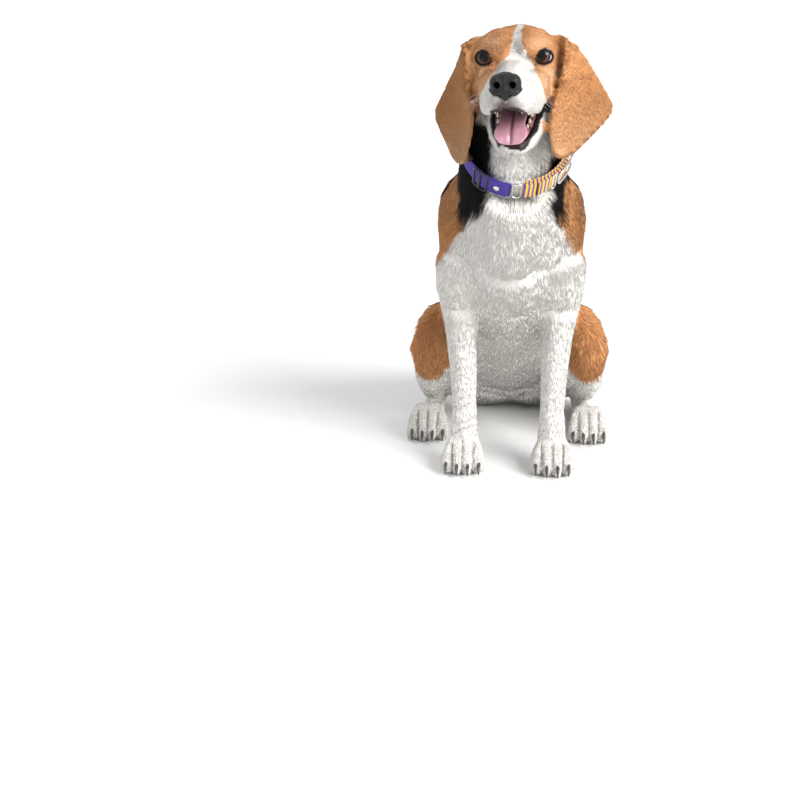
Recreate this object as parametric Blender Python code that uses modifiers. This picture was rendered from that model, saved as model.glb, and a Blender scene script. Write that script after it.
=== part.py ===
"""A beagle that sits with its head up and its mouth open, life size, in a webbing collar.

The dog faces -Y, its left side is +X and it sits on the floor at Z = 0. Muscles, bones and fat are
rounded masses. They are melted into one body, thinned, and parted by thin cuts into named pieces.
"""

import math

import bmesh
import bpy
from mathutils import Matrix, Vector

MM = 0.001

# Driving sizes, in metres and degrees.
EYE_LINE = Vector((0.0, -0.108, 0.475))  # midway between the eyes
HEAD_TURN = -7.0  # towards the dog's right
HEAD_NOD = 3.0  # nose up
HEAD_ROLL = -3.0  # the dog's left eye is the higher one
EYE_SPACING = 0.062
EYE_RADIUS = 0.0112
JAW_HINGE = Vector((0.0, 0.052, -0.028))  # from the eye line, in the head's own frame
JAW_OPEN = 31.0
GAP = 0.0003  # between neighbouring solids
MELT = 0.0022  # the finest detail that melting keeps
BODY_TRIANGLES = 2200

HEAD = (
    Matrix.Translation(EYE_LINE)
    @ Matrix.Rotation(math.radians(HEAD_TURN), 4, "Z")
    @ Matrix.Rotation(math.radians(-HEAD_NOD), 4, "X")
    @ Matrix.Rotation(math.radians(HEAD_ROLL), 4, "Y")
)
JAW = HEAD @ Matrix.Translation(JAW_HINGE) @ Matrix.Rotation(math.radians(JAW_OPEN), 4, "X")
WORLD = Matrix.Identity(4)
SIDES = (("left", 1), ("right", -1))
CAP_RINGS = 4  # rings in each round end of a limb


def clear_scene():
    for thing in list(bpy.data.objects):
        bpy.data.objects.remove(thing)


def collection(name):
    made = bpy.data.collections.new(name)
    bpy.context.scene.collection.children.link(made)
    return made


# ---------------------------------------------------------------- rounded masses


def mass(flesh, centre, radii, frame=WORLD, lean=0.0, splay=0.0):
    """One ellipsoid of flesh, in millimetres of its frame, leaning about X and splayed about Z."""
    place = frame @ Matrix.Translation(Vector(centre) * MM)
    place = place @ Matrix.Rotation(math.radians(splay), 4, "Z")
    place = place @ Matrix.Rotation(math.radians(lean), 4, "X")
    size = Matrix.Diagonal((*(r * MM for r in radii), 1.0))
    detail = 3 if max(radii) > 12 else 2
    bmesh.ops.create_icosphere(flesh, subdivisions=detail, radius=1.0, matrix=place @ size)


def smooth_between(stations, share):
    """The station a share of the way along a list of them, on a curve through them all."""
    spans = len(stations) - 1
    at = min(share * spans, spans - 1e-6)
    i = int(at)
    t = at - i
    a, b, c, d = (stations[min(max(i + k, 0), spans)] for k in (-1, 0, 1, 2))
    return [
        0.5 * (2 * q + (r - p) * t + (2 * p - 5 * q + 4 * r - s) * t**2 + (3 * q - p - 3 * r + s) * t**3)
        for p, q, r, s in zip(a, b, c, d)
    ]


def limb(flesh, stations, frame=WORLD, across=Vector((1, 0, 0))):
    """A round-ended limb through stations (x, y, z, half width, half depth), in millimetres of its frame.

    It is a sphere whose rings are drawn out along the limb. Widths are measured along across.
    """
    length = sum(math.dist(p[:3], q[:3]) for p, q in zip(stations, stations[1:]))
    rings = 2 * CAP_RINGS + max(4, int(length / 6))
    made = bmesh.ops.create_uvsphere(flesh, u_segments=24, v_segments=rings, radius=1.0)
    for vert in made["verts"]:
        latitude = math.acos(max(-1.0, min(1.0, vert.co.z)))
        ring = round(latitude / math.pi * rings)
        share = min(max((ring - CAP_RINGS) / (rings - 2 * CAP_RINGS), 0.0), 1.0)
        x, y, z, wide, deep = smooth_between(stations, share)
        run = Vector(smooth_between(stations, min(share + 0.02, 1.0))[:3])
        run = (run - Vector(smooth_between(stations, max(share - 0.02, 0.0))[:3])).normalized()
        side = (across - across.dot(run) * run).normalized()
        back = run.cross(side)
        cap = max(CAP_RINGS - ring, ring - rings + CAP_RINGS, 0) / CAP_RINGS * math.pi / 2
        bulge = math.sin(cap) * min(wide, deep) * (1 if ring > CAP_RINGS else -1)
        turn = math.atan2(vert.co.y, vert.co.x)
        out = math.cos(cap) if 0 < ring < rings else 0.0
        spot = Vector((x, y, z)) + run * bulge
        spot += side * (math.cos(turn) * wide * out) + back * (math.sin(turn) * deep * out)
        vert.co = frame @ (spot * MM)


def mirrored(stations, side):
    return [(side * s[0], *s[1:]) for s in stations]


# ---------------------------------------------------------------- the head


def grow_skull(flesh):
    mass(flesh, (0, 42, -7), (46, 52, 37), HEAD)
    mass(flesh, (0, 70, -12), (36, 32, 28), HEAD)
    limb(flesh, [(0, -2, -15, 17, 16), (0, -36, -20, 14, 14), (0, -68, -23, 12, 12)], HEAD)
    for _, side in SIDES:
        mass(flesh, (side * 17, 18, 8), (25, 30, 21), HEAD)
        mass(flesh, (side * 28, 4, 13), (15, 12, 7), HEAD, splay=side * 15)
        mass(flesh, (side * 31, 9, 0), (17, 13, 14), HEAD)
        limb(flesh, mirrored([(33, 5, -15, 11, 9), (41, 20, -10, 11, 10), (40, 42, -9, 10, 12)], side), HEAD)
        mass(flesh, (side * 34, 24, -28), (15, 29, 27), HEAD)
        mass(flesh, (side * 24, -10, -27), (15, 20, 15), HEAD)
        mass(flesh, (side * 45, 26, 9), (10, 19, 12), HEAD)


def grow_muzzle(flesh):
    for _, side in SIDES:
        lip = [(22, 0, -36, 17, 17), (18, -32, -38, 17, 18), (13.5, -58, -39, 16, 17), (8.5, -73, -34, 12, 13)]
        limb(flesh, mirrored(lip, side), HEAD)
    mass(flesh, (0, -72, -28), (15, 12, 14), HEAD)


def grow_jaw(flesh):
    for _, side in SIDES:
        bone = [(33, -4, -9, 13, 15), (27, -50, -13, 10, 11), (17, -92, -12, 8.5, 9.5), (6, -109, -11, 8, 9)]
        limb(flesh, mirrored(bone, side), JAW)
        corner = [(34, 20, -38, 8, 11), (33, 14, -48, 6, 8), (31, 12, -58, 6, 7)]
        limb(flesh, mirrored(corner, side), HEAD)
    limb(flesh, [(0, -10, -18, 24, 11), (0, -60, -18, 18, 8), (0, -104, -15, 9, 7)], JAW)


# ---------------------------------------------------------------- neck and trunk


def grow_neck(flesh):
    limb(
        flesh,
        [
            (0, -54, 444, 42, 34),
            (0, -50, 412, 47, 42),
            (0, -46, 372, 56, 57),
            (0, -42, 330, 62, 71),
            (0, -34, 285, 70, 84),
        ],
    )
    limb(flesh, [(0, -78, 398, 26, 16), (0, -88, 352, 34, 22), (0, -102, 298, 40, 28), (0, -100, 258, 38, 30)])
    limb(flesh, [(0, -30, 448, 28, 16), (0, -20, 404, 29, 18), (0, -2, 352, 34, 22), (0, 26, 300, 42, 24)])


def grow_trunk(flesh):
    limb(
        flesh,
        [
            (0, -36, 286, 70, 82),
            (0, -12, 246, 78, 88),
            (0, 26, 196, 82, 86),
            (0, 66, 146, 79, 79),
            (0, 104, 102, 73, 69),
            (0, 132, 70, 65, 60),
            (0, 142, 54, 52, 54),
        ],
    )
    mass(flesh, (0, -66, 222), (42, 34, 50), lean=14)
    for _, side in SIDES:
        mass(flesh, (side * 55, -28, 270), (29, 46, 60), lean=-18, splay=side * -10)
        mass(flesh, (side * 50, -62, 258), (29, 26, 42))
        mass(flesh, (side * 58, -44, 222), (27, 34, 46), lean=-14)
        mass(flesh, (side * 30, 132, 34), (32, 36, 36))
        mass(flesh, (side * 68, 86, 92), (36, 74, 58), lean=-16)
        mass(flesh, (side * 60, 114, 68), (38, 50, 54))
        mass(flesh, (side * 50, 96, 118), (36, 50, 48), lean=-40)


# ---------------------------------------------------------------- legs and tail


# Each paw: its name, its middle, its knuckles, the spread of its toes and how far they reach.
PAWS = (("fore", 51, -98, 10.8, 11), ("hind", 95, 12, 10.4, 12))
TOE_PLACES = (-1.5, -0.5, 0.5, 1.5)


def toe_tip(centre_x, knuckles_y, spread, reach, place):
    longer = 5 if abs(place) < 1 else 0
    return centre_x + place * (spread + 1.6), knuckles_y - longer - reach


def grow_paw(flesh, side, centre_x, knuckles_y, spread, reach):
    """Four rounded toes fanned about the paw's middle over a main pad. The two middle ones are longer."""
    for place in TOE_PLACES:
        x, y = toe_tip(centre_x, knuckles_y, spread, reach, place)
        toe = [
            (centre_x + place * spread * 0.6, knuckles_y + 20, 26, 8.5, 9),
            (centre_x + place * spread, y + reach, 19, 8, 10.5),
            (x, y, 8.2, 7.4, 9.6),
            (x, y - 4, 6.8, 6.4, 7.8),
        ]
        limb(flesh, mirrored(toe, side))
    mass(flesh, (side * centre_x, knuckles_y + 10, 9.5), (17, 15, 12))


def grow_foreleg(flesh, side):
    arm = [
        (58, -60, 236, 26, 30),
        (60, -44, 208, 25, 31),
        (58, -36, 180, 22, 27),
        (55, -44, 148, 18.5, 22),
        (52, -56, 108, 15.5, 17.5),
        (50, -67, 66, 14, 15),
        (50, -72, 48, 15.5, 16),
        (50.5, -80, 28, 17, 15),
    ]
    limb(flesh, mirrored(arm, side))
    mass(flesh, (side * 56, -18, 184), (15, 18, 17))


def grow_hindleg(flesh, side):
    thigh = [(74, 100, 98, 32, 44), (82, 62, 108, 30, 40), (91, 24, 106, 26, 29), (93, 10, 98, 20, 22)]
    limb(flesh, mirrored(thigh, side))
    shank = [(93, 12, 98, 20, 22), (93, 50, 66, 19, 26), (90, 96, 38, 15, 20), (88, 124, 22, 12, 15)]
    limb(flesh, mirrored(shank, side))
    heel = [(88, 130, 17, 11.5, 15), (89, 100, 12.5, 12.5, 14), (91, 60, 13, 13.5, 14), (93, 30, 17, 15.5, 14)]
    limb(flesh, mirrored(heel, side))


def grow_tail(flesh):
    limb(
        flesh,
        [
            (0, 156, 84, 22, 22),
            (2, 184, 50, 17, 17),
            (6, 208, 22, 14.5, 15),
            (14, 238, 12, 13.5, 13.5),
            (34, 274, 11.5, 13, 13),
            (62, 300, 11, 12, 12),
            (92, 314, 9.5, 10, 10),
            (116, 318, 7.5, 7, 7.5),
        ],
        across=Vector((0, 0, 1)),
    )


# ---------------------------------------------------------------- mesh work


def evaluated(thing):
    """The thing's mesh with its modifiers applied."""
    bpy.context.view_layer.update()
    graph = bpy.context.evaluated_depsgraph_get()
    return bpy.data.meshes.new_from_object(thing.evaluated_get(graph))


def settle(thing):
    """Applies every modifier."""
    mesh = evaluated(thing)
    thing.modifiers.clear()
    thing.data = mesh


def solid(name, shape, home):
    """An object made from a closed shape, with its faces turned outwards."""
    shape.normal_update()
    bmesh.ops.recalc_face_normals(shape, faces=shape.faces)
    mesh = bpy.data.meshes.new(name)
    shape.to_mesh(mesh)
    shape.free()
    made = bpy.data.objects.new(name, mesh)
    home.objects.link(made)
    return made


def melt(thing, voxel, rounds):
    """Melts overlapping masses into one skin and relaxes its creases."""
    remesh = thing.modifiers.new("melt", "REMESH")
    remesh.mode = "VOXEL"
    remesh.voxel_size = voxel
    relax = thing.modifiers.new("relax", "SMOOTH")
    relax.factor = 0.5
    relax.iterations = rounds
    settle(thing)


def grow_body(home):
    """Neck, trunk and thighs are melted first and well smoothed, then all the finer masses join them."""
    flesh = bmesh.new()
    grow_neck(flesh)
    grow_trunk(flesh)
    torso = solid("torso", flesh, home)
    melt(torso, 0.005, 22)
    flesh = bmesh.new()
    flesh.from_mesh(torso.data)
    bpy.data.objects.remove(torso)
    for grow in (grow_skull, grow_muzzle, grow_jaw, grow_tail):
        grow(flesh)
    for _, side in SIDES:
        grow_foreleg(flesh, side)
        grow_hindleg(flesh, side)
        for _, *paw in PAWS:
            grow_paw(flesh, side, *paw)
    body = solid("body", flesh, home)
    melt(body, MELT, 7)
    return body


# ---------------------------------------------------------------- separate pieces


# Each ear hangs through ribs, top to tip: its middle, then half its width from the front edge to the back.
EAR_RIBS = {
    "left": (
        (38, 26, 12, 0, 16, -3),
        (56, 24, 15, 2, 19, -6),
        (65, 19, -9, 11, 20, -6),
        (70, 14, -32, 21, 19, -5),
        (71, 10, -56, 31, 15, -3),
        (62, 5, -80, 30, 12, 0),
        (50, 0, -107, 24, 8, 2),
    ),
    "right": (
        (-38, 26, 9, 0, 16, -3),
        (-57, 24, 12, -2, 20, -5),
        (-62, 21, -12, -9, 22, -5),
        (-67, 18, -36, -16, 23, -4),
        (-70, 15, -60, -24, 22, -2),
        (-68, 10, -86, -21, 18, 0),
        (-66, 5, -114, -15, 12, 1),
    ),
}
EAR_ROUND = 0.66  # the share of the ear's length past which its tip rounds off


def make_ear(side_name, side, home):
    """One ear leather: a grid bent through the ribs, cupped outwards and thickened."""
    shape = bmesh.new()
    bmesh.ops.create_grid(shape, x_segments=12, y_segments=20, size=1.0)
    for vert in shape.verts:
        across, along = vert.co.x, 1 - ((1 + vert.co.y) / 2) ** 2
        rib = smooth_between(EAR_RIBS[side_name], along)
        below = smooth_between(EAR_RIBS[side_name], min(along + 0.05, 1.0))
        above = smooth_between(EAR_RIBS[side_name], max(along - 0.05, 0.0))
        half = Vector(rib[3:])
        drop = (Vector(below[:3]) - Vector(above[:3])).normalized()
        past = max(along - EAR_ROUND, 0.0) / (1 - EAR_ROUND)
        narrow = math.sqrt(max(1 - past**2, 0.004))
        outward = half.cross(drop).normalized() * side
        cup = (1 - across**2) * 7 * math.sin(math.pi * min(along * 1.4, 1.0) * 0.5)
        spot = Vector(rib[:3]) + half * (across * narrow) + outward * cup
        vert.co = HEAD @ (spot * MM)
    ear = solid("ear_" + side_name, shape, home)
    wall = ear.modifiers.new("leather", "SOLIDIFY")
    wall.thickness = 0.0045
    wall.offset = 0.0
    settle(ear)
    thin(ear, 240)
    return ear


def make_ball(name, centre, radii, frame, home, detail=3):
    shape = bmesh.new()
    place = frame @ Matrix.Translation(Vector(centre) * MM)
    size = Matrix.Diagonal((*(r * MM for r in radii), 1.0))
    bmesh.ops.create_icosphere(shape, subdivisions=detail, radius=1.0, matrix=place @ size)
    return solid(name, shape, home)


def make_nose(home):
    shape = bmesh.new()
    mass(shape, (0, -79, -17), (13, 9, 10), HEAD)
    mass(shape, (0, -83, -24), (6, 6, 11), HEAD)
    for _, side in SIDES:
        mass(shape, (side * 8, -80, -19), (8.5, 8.5, 9.5), HEAD)
    nose = solid("nose", shape, home)
    melt(nose, 0.0014, 3)
    thin(nose, 220)
    return nose


def make_tongue(home):
    shape = bmesh.new()
    limb(
        shape,
        [
            (0, -18, -6, 15, 8),
            (0, -50, 3, 15.5, 8),
            (0, -80, 7, 15, 6),
            (0, -94, 9, 14, 5),
            (0, -103, 9.5, 17, 4.6),
            (0, -111, 8, 17, 4.4),
            (0, -114, 6, 13, 4),
        ],
        JAW,
    )
    tongue = solid("tongue", shape, home)
    thin(tongue, 240)
    return tongue


# Round each arch: the angle from its front, the tooth's length past the gum, and half its thickness.
UPPER_TEETH = ((8, 3, 2), (20, 3.4, 2.1), (34, 9.5, 2.9), (46, 4, 2.3), (56, 5, 2.6), (67, 7, 3), (79, 5, 3))
UPPER_ARCH = (20, 54, -68, -42)
LOWER_ARCH = (19, 58, -104, -1)
LOWER_TEETH = ((44, 3.5, 2.2), (55, 4.5, 2.5), (67, 6, 3), (79, 4, 3))


def on_arch(arch, angle):
    """A point on a horseshoe (half width, length, front, height), at an angle from its front."""
    half_width, length, front, height = arch
    turn = math.radians(angle)
    squared = math.copysign(abs(math.sin(turn)) ** 0.6, turn)
    return half_width * squared, front + length * (1 - math.cos(turn)), height


def make_gums(name, arch, frame, way, teeth, home):
    """A horseshoe of gum with its teeth, which point up (way 1) or down (way -1)."""
    shape = bmesh.new()
    ridge = [(*on_arch(arch, angle), 3.6, 3.4) for angle in range(-88, 89, 8)]
    limb(shape, ridge, frame, across=Vector((0, 0, 1)))
    for angle, crown_length, thick in teeth:
        for turned in (angle, -angle):
            x, y, z = on_arch(arch, turned)
            tip = z + way * (3 + crown_length)
            limb(shape, [(x, y, z, thick, thick), (x, y - 0.1 * crown_length, tip, 0.9, 0.9)], frame)
    gums = solid(name, shape, home)
    melt(gums, 0.0011, 1)
    thin(gums, 260)
    return gums


def make_claws(home):
    """One claw at each toe's tip, just clear of the floor."""
    claws = []
    for limb_name, centre_x, knuckles_y, spread, reach in PAWS:
        for side_name, side in SIDES:
            for number, place in enumerate(TOE_PLACES, start=1):
                x, y = toe_tip(centre_x, knuckles_y, spread, reach, place)
                shape = bmesh.new()
                hook = [(x, y - 5, 12, 2.0, 2.8), (x, y - 11, 9.5, 1.7, 2.4), (x, y - 15.5, 3.2, 0.7, 0.9)]
                limb(shape, mirrored(hook, side))
                claw = solid(f"claw_{limb_name}_{side_name}_{number}", shape, home)
                thin(claw, 30)
                claws.append(claw)
    return claws


# ---------------------------------------------------------------- the collar


COLLAR = (
    Matrix.Translation((0.003, -0.052, 0.371))
    @ Matrix.Rotation(math.radians(7), 4, "Y")
    @ Matrix.Rotation(math.radians(33.5), 4, "X")
)
COLLAR_HALF = (59.0, 72.0)  # the strap's inner half width and half depth, in millimetres
STRAP_WIDE, STRAP_THICK = 20.0, 2.4


def on_collar(angle, out, up):
    """A point round the collar: angle from the throat towards the dog's left, out from the neck, and up."""
    turn = math.radians(angle)
    x, y = COLLAR_HALF[0] * math.sin(turn), -COLLAR_HALF[1] * math.cos(turn)
    away = Vector((x / COLLAR_HALF[0] ** 2, y / COLLAR_HALF[1] ** 2, 0)).normalized()
    return COLLAR @ ((Vector((x, y, up)) + away * out) * MM)


def make_band(name, start, end, inner, thick, wide, home):
    """A strap or plate that follows the collar between two angles, or a ring if they are a turn apart."""
    shape = bmesh.new()
    steps = max(2, int(abs(end - start) / 7.5))
    bmesh.ops.create_grid(shape, x_segments=steps, y_segments=1, size=1.0)
    for vert in shape.verts:
        angle = start + (end - start) * (1 + vert.co.x) / 2
        vert.co = on_collar(angle, inner, wide / 2 * vert.co.y)
    bmesh.ops.remove_doubles(shape, verts=shape.verts, dist=GAP / 10)
    band = solid(name, shape, home)
    centre = COLLAR.translation
    inward = any(face.normal.dot(face.center - centre) < 0 for face in band.data.polygons)
    wall = band.modifiers.new("wall", "SOLIDIFY")
    wall.thickness = thick * MM
    wall.offset = -1.0 if inward else 1.0
    settle(band)
    return band


def make_link(name, start, end, out, wide, wire, home):
    """A closed wire link lying on the collar."""
    curve = bpy.data.curves.new(name, "CURVE")
    curve.dimensions = "3D"
    curve.bevel_depth = wire * MM
    curve.bevel_resolution = 0
    spline = curve.splines.new("POLY")
    sides = 14
    spline.points.add(sides - 1)
    spline.use_cyclic_u = True
    for n, point in enumerate(spline.points):
        turn = 2 * math.pi * n / sides
        squared = [math.copysign(abs(f(turn)) ** 0.45, f(turn)) for f in (math.cos, math.sin)]
        angle = (start + end) / 2 + (end - start) / 2 * squared[0]
        point.co = (*on_collar(angle, out, wide / 2 * squared[1]), 1)
    drawn = bpy.data.objects.new(name + "_wire", curve)
    home.objects.link(drawn)
    mesh = evaluated(drawn)
    bpy.data.objects.remove(drawn)
    link = bpy.data.objects.new(name, mesh)
    home.objects.link(link)
    return link


def make_rivet(name, angle, home):
    shape = bmesh.new()
    spot = on_collar(angle, STRAP_THICK + 0.3 + 0.8, 0)
    outward = (on_collar(angle, 9, 0) - on_collar(angle, 0, 0)).normalized()
    place = Matrix.Translation(spot) @ outward.to_track_quat("Z", "Y").to_matrix().to_4x4()
    bmesh.ops.create_cone(
        shape, cap_ends=True, segments=12, radius1=3.6 * MM, radius2=2.4 * MM, depth=1.6 * MM, matrix=place
    )
    return solid(name, shape, home)


def make_collar(home):
    on_strap = STRAP_THICK + 0.3
    make_band("collar_plain_strap", -180, 0.5, 0, STRAP_THICK, STRAP_WIDE, home)
    make_band("collar_striped_strap", 12.5, 179.5, 0, STRAP_THICK, STRAP_WIDE, home)
    make_link("collar_link", 2.6, 10.4, 1.4, STRAP_WIDE, 1.5, home)
    make_band("collar_slider", -40, -25, on_strap, 3.0, STRAP_WIDE + 4, home)
    make_band("collar_keeper", 26, 29, on_strap, 1.2, STRAP_WIDE + 1, home)
    make_band("collar_slide_plate", 43, 50, on_strap, 1.8, STRAP_WIDE + 4, home)
    make_link("collar_ring", 52, 89, on_strap + 2.4, STRAP_WIDE - 3, 1.5, home)
    make_rivet("collar_rivet", -14, home)


# ---------------------------------------------------------------- thinning, cutting and parting


def thin(thing, triangles):
    """Collapses edges until about this many triangles are left."""
    collapse = thing.modifiers.new("thin", "DECIMATE")
    faces = sum(len(face.vertices) - 2 for face in thing.data.polygons)
    collapse.ratio = triangles / faces
    collapse.use_collapse_triangulate = True
    settle(thing)


def boolean(thing, cutter, operation):
    step = thing.modifiers.new("cut", "BOOLEAN")
    step.operation = operation
    step.solver = "EXACT"
    step.object = cutter
    settle(thing)


def swollen(thing, home):
    """A cutter that is the thing grown by the gap on every side."""
    copy = bpy.data.objects.new(thing.name + "_cutter", thing.data.copy())
    home.objects.link(copy)
    grow = copy.modifiers.new("grow", "DISPLACE")
    grow.strength = GAP
    grow.mid_level = 0.0
    settle(copy)
    hide(copy)
    return copy


def hide(cutter):
    cutter.hide_render = True
    cutter.display_type = "WIRE"


def make_room(thing, *others, home):
    """Cuts the others, grown by the gap, out of the thing."""
    for other in others:
        cutter = swollen(other, home)
        boolean(thing, cutter, "DIFFERENCE")
        bpy.data.objects.remove(cutter)


def block(low, high, frame, margin, home):
    """A box between two corners, in millimetres of its frame, grown by a margin."""
    shape = bmesh.new()
    bmesh.ops.create_cube(shape, size=1.0)
    middle = (Vector(low) + Vector(high)) / 2
    size = Vector(high) - Vector(low) + Vector((2, 2, 2)) * margin
    bmesh.ops.scale(shape, vec=size * MM, verts=shape.verts)
    bmesh.ops.translate(shape, vec=middle * MM, verts=shape.verts)
    bmesh.ops.transform(shape, matrix=frame, verts=shape.verts)
    cutter = solid("region", shape, home)
    hide(cutter)
    return cutter


def part_off(rest, name, low, high, frame, home, cutters):
    """Moves what lies in a box out of the rest and into a piece of its own, with a gap between."""
    piece = bpy.data.objects.new(name, rest.data.copy())
    home.objects.link(piece)
    for thing, operation, margin in ((piece, "INTERSECT", 0.0), (rest, "DIFFERENCE", GAP / MM)):
        cutter = block(low, high, frame, margin, cutters)
        boolean(thing, cutter, operation)
        bpy.data.objects.remove(cutter)
    return piece


def region(side, x_near, x_far, y_near, y_far, z_low, z_high):
    """Opposite corners of a box on one side of the body, in millimetres."""
    low_x, high_x = sorted((side * x_near, side * x_far))
    return (low_x, y_near, z_low), (high_x, y_far, z_high)


def plane(x, y, z, tilt):
    """A frame at a point, in millimetres, whose Y and Z axes are tilted about X by an angle in degrees."""
    return Matrix.Translation(Vector((x, y, z)) * MM) @ Matrix.Rotation(math.radians(tilt), 4, "X")


FAR = 400  # past every part of the body, in millimetres
NAPE_CUT = plane(0, -35, 425, 30)
NECK_CUT = plane(0, -30, 335, 22)
LOIN_CUT = plane(0, 38, 190, -49)
TAIL_CUT = plane(0, 202, 34, -49)
SHANK_CUT = plane(0, 12, 98, -38)


def part_body(body, home, cutters):
    """Parts the body into its named lengths, from both ends towards the chest."""

    def take(name, corners, frame=WORLD, out_of=body):
        return part_off(out_of, name, *corners, frame, home, cutters)

    head = take("cranium", ((-FAR, -FAR, 0), (FAR, FAR, FAR)), NAPE_CUT)
    take("lower_jaw", ((-60, -140, -45), (60, -24, 2)), JAW, head)
    take("muzzle", ((-60, -120, -62), (60, -16, 20)), HEAD, head)
    take("neck", ((-FAR, -FAR, 0), (FAR, FAR, FAR)), NECK_CUT)
    tail = take("tail_base", ((-60, 0, -FAR), (FAR, FAR, FAR)), TAIL_CUT)
    take("tail_tip", ((36, 0, -FAR), (FAR, FAR, FAR)), WORLD, tail)
    for side_name, side in SIDES:
        take("fore_paw_" + side_name, region(side, 15, 90, -150, -50, -10, 36))
        take("forearm_" + side_name, region(side, 22, 100, -110, -28, 30, 130))
        take("upper_arm_" + side_name, region(side, 40, 130, -115, 5, 130, 236))
        take("hind_paw_" + side_name, region(side, 66, 140, -40, 40, -10, 38))
        take("hock_" + side_name, region(side, 66, 140, 40, 160, -10, 38))
        thigh = take("thigh_" + side_name, region(side, 62, 140, -40, 150, 38, 170))
        take("shank_" + side_name, region(side, 40, 140, 14, 200, -80, 17), SHANK_CUT, thigh)
    take("abdomen", ((-FAR, 0, -FAR), (FAR, FAR, FAR)), LOIN_CUT)
    body.name = "chest"


def hollow_out(body, cutter):
    boolean(body, cutter, "DIFFERENCE")
    bpy.data.objects.remove(cutter)


def open_head(body, cutters):
    """Hollows the palate and the throat, the grooves where the gums lie, and the eye sockets."""
    for centre, radii in (((0, -38, -50), (16, 36, 11)), ((0, -6, -52), (21, 26, 15))):
        hollow_out(body, make_ball("hollow", centre, radii, HEAD, cutters, detail=2))
    for arch, frame, way in ((UPPER_ARCH, HEAD, -1), (LOWER_ARCH, JAW, 1)):
        shape = bmesh.new()
        groove = [(*on_arch(arch, angle), 11.2, 5.5) for angle in range(-95, 96, 10)]
        limb(shape, [(x, y, z + way * 5, *size) for x, y, z, *size in groove], frame, across=Vector((0, 0, 1)))
        cutter = solid("groove", shape, cutters)
        thin(cutter, 160)
        hollow_out(body, cutter)
    for _, side in SIDES:
        place, size = (side * EYE_SPACING / MM / 2, 2.5, 0), [EYE_RADIUS / MM * 1.1] * 3
        hollow_out(body, make_ball("socket", place, size, HEAD, cutters, detail=2))


# ---------------------------------------------------------------- colours and placing


# Each look: its colour, roughness, how metallic it is, and how the names of its pieces start.
LOOKS = {
    "tan_coat": ((0.52, 0.27, 0.13), 0.85, 0.0, ("cranium", "ear", "thigh", "upper_arm")),
    "white_coat": (
        (0.80, 0.75, 0.68),
        0.85,
        0.0,
        ("muzzle", "lower_jaw", "chest", "fore", "hind_paw", "hock", "shank", "tail_tip"),
    ),
    "black_coat": ((0.030, 0.027, 0.025), 0.80, 0.0, ("neck", "abdomen", "tail_base")),
    "eye": ((0.10, 0.045, 0.02), 0.08, 0.0, ("eye",)),
    "nose_leather": ((0.025, 0.020, 0.022), 0.35, 0.0, ("nose",)),
    "tongue": ((0.75, 0.32, 0.36), 0.30, 0.0, ("tongue",)),
    "gum": ((0.55, 0.25, 0.27), 0.35, 0.0, ("upper_gums", "lower_gums")),
    "claw": ((0.06, 0.05, 0.045), 0.40, 0.0, ("claw",)),
    "purple_webbing": ((0.06, 0.03, 0.25), 0.70, 0.0, ("collar_plain_strap",)),
    "striped_webbing": ((0.75, 0.48, 0.03), 0.70, 0.0, ("collar_striped_strap",)),
    "black_plastic": ((0.02, 0.02, 0.022), 0.45, 0.0, ("collar_slider", "collar_keeper")),
    "steel": ((0.62, 0.62, 0.61), 0.25, 1.0, ("collar_",)),
}


def paint(thing):
    """Gives a piece a material of its own with the first look that its name fits."""
    look = next(name for name, (*_, starts) in LOOKS.items() if thing.name.startswith(starts))
    colour, roughness, metallic, _ = LOOKS[look]
    material = bpy.data.materials.new(f"{thing.name}_{look}")
    material.use_nodes = True
    surface = material.node_tree.nodes["Principled BSDF"]
    surface.inputs["Base Color"].default_value = (*colour, 1)
    surface.inputs["Roughness"].default_value = roughness
    surface.inputs["Metallic"].default_value = metallic
    thing.data.materials.clear()
    thing.data.materials.append(material)


def stand_at_origin(home):
    """Puts the middle of the whole dog's outline over the origin, on the floor."""
    spots = [vert.co for thing in home.objects for vert in thing.data.vertices]
    middle = [(min(spot[axis] for spot in spots) + max(spot[axis] for spot in spots)) / 2 for axis in (0, 1)]
    for thing in home.objects:
        thing.data.transform(Matrix.Translation((-middle[0], -middle[1], 0)))


# ---------------------------------------------------------------- the dog


def make_beagle():
    clear_scene()
    dog = collection("beagle")
    cutters = collection("cutters")

    body = grow_body(dog)
    thin(body, BODY_TRIANGLES)
    hollow_out(body, block((-FAR, -FAR, -FAR), (FAR, FAR, 0), WORLD, 0, cutters))
    hollow_out(body, make_band("channel", -180, 180, -1.0, 25, STRAP_WIDE + 6, cutters))
    open_head(body, cutters)

    for side_name, side in SIDES:
        make_ball("eye_" + side_name, (side * EYE_SPACING / MM / 2, 2.5, 0), [EYE_RADIUS / MM] * 3, HEAD, dog, detail=2)
        make_room(make_ear(side_name, side, dog), body, home=cutters)
    nose = make_nose(dog)
    tongue = make_tongue(dog)
    make_gums("upper_gums", UPPER_ARCH, HEAD, -1, UPPER_TEETH, dog)
    lower_gums = make_gums("lower_gums", LOWER_ARCH, JAW, 1, LOWER_TEETH, dog)
    make_room(lower_gums, tongue, home=cutters)
    claws = make_claws(dog)
    make_collar(dog)
    make_room(body, nose, tongue, *claws, home=cutters)
    part_body(body, dog, cutters)

    stand_at_origin(dog)
    for thing in dog.objects:
        paint(thing)
        thing.data.shade_smooth()
        thing.data.set_sharp_from_angle(angle=math.radians(50))


make_beagle()
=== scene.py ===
"""The looks of a sitting beagle: skin, coat, eyes, nose, mouth and collar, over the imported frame.

Lengths are in metres, and in millimetres where a name or a comment says so. The dog faces -Y and its
left side is +X. HEAD and JAW are frames that lie along the head and the open lower jaw.
"""

import math

import bmesh
import bpy
import numpy as np
from mathutils import Matrix, Vector
from mathutils.bvhtree import BVHTree
from mathutils.kdtree import KDTree


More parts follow.
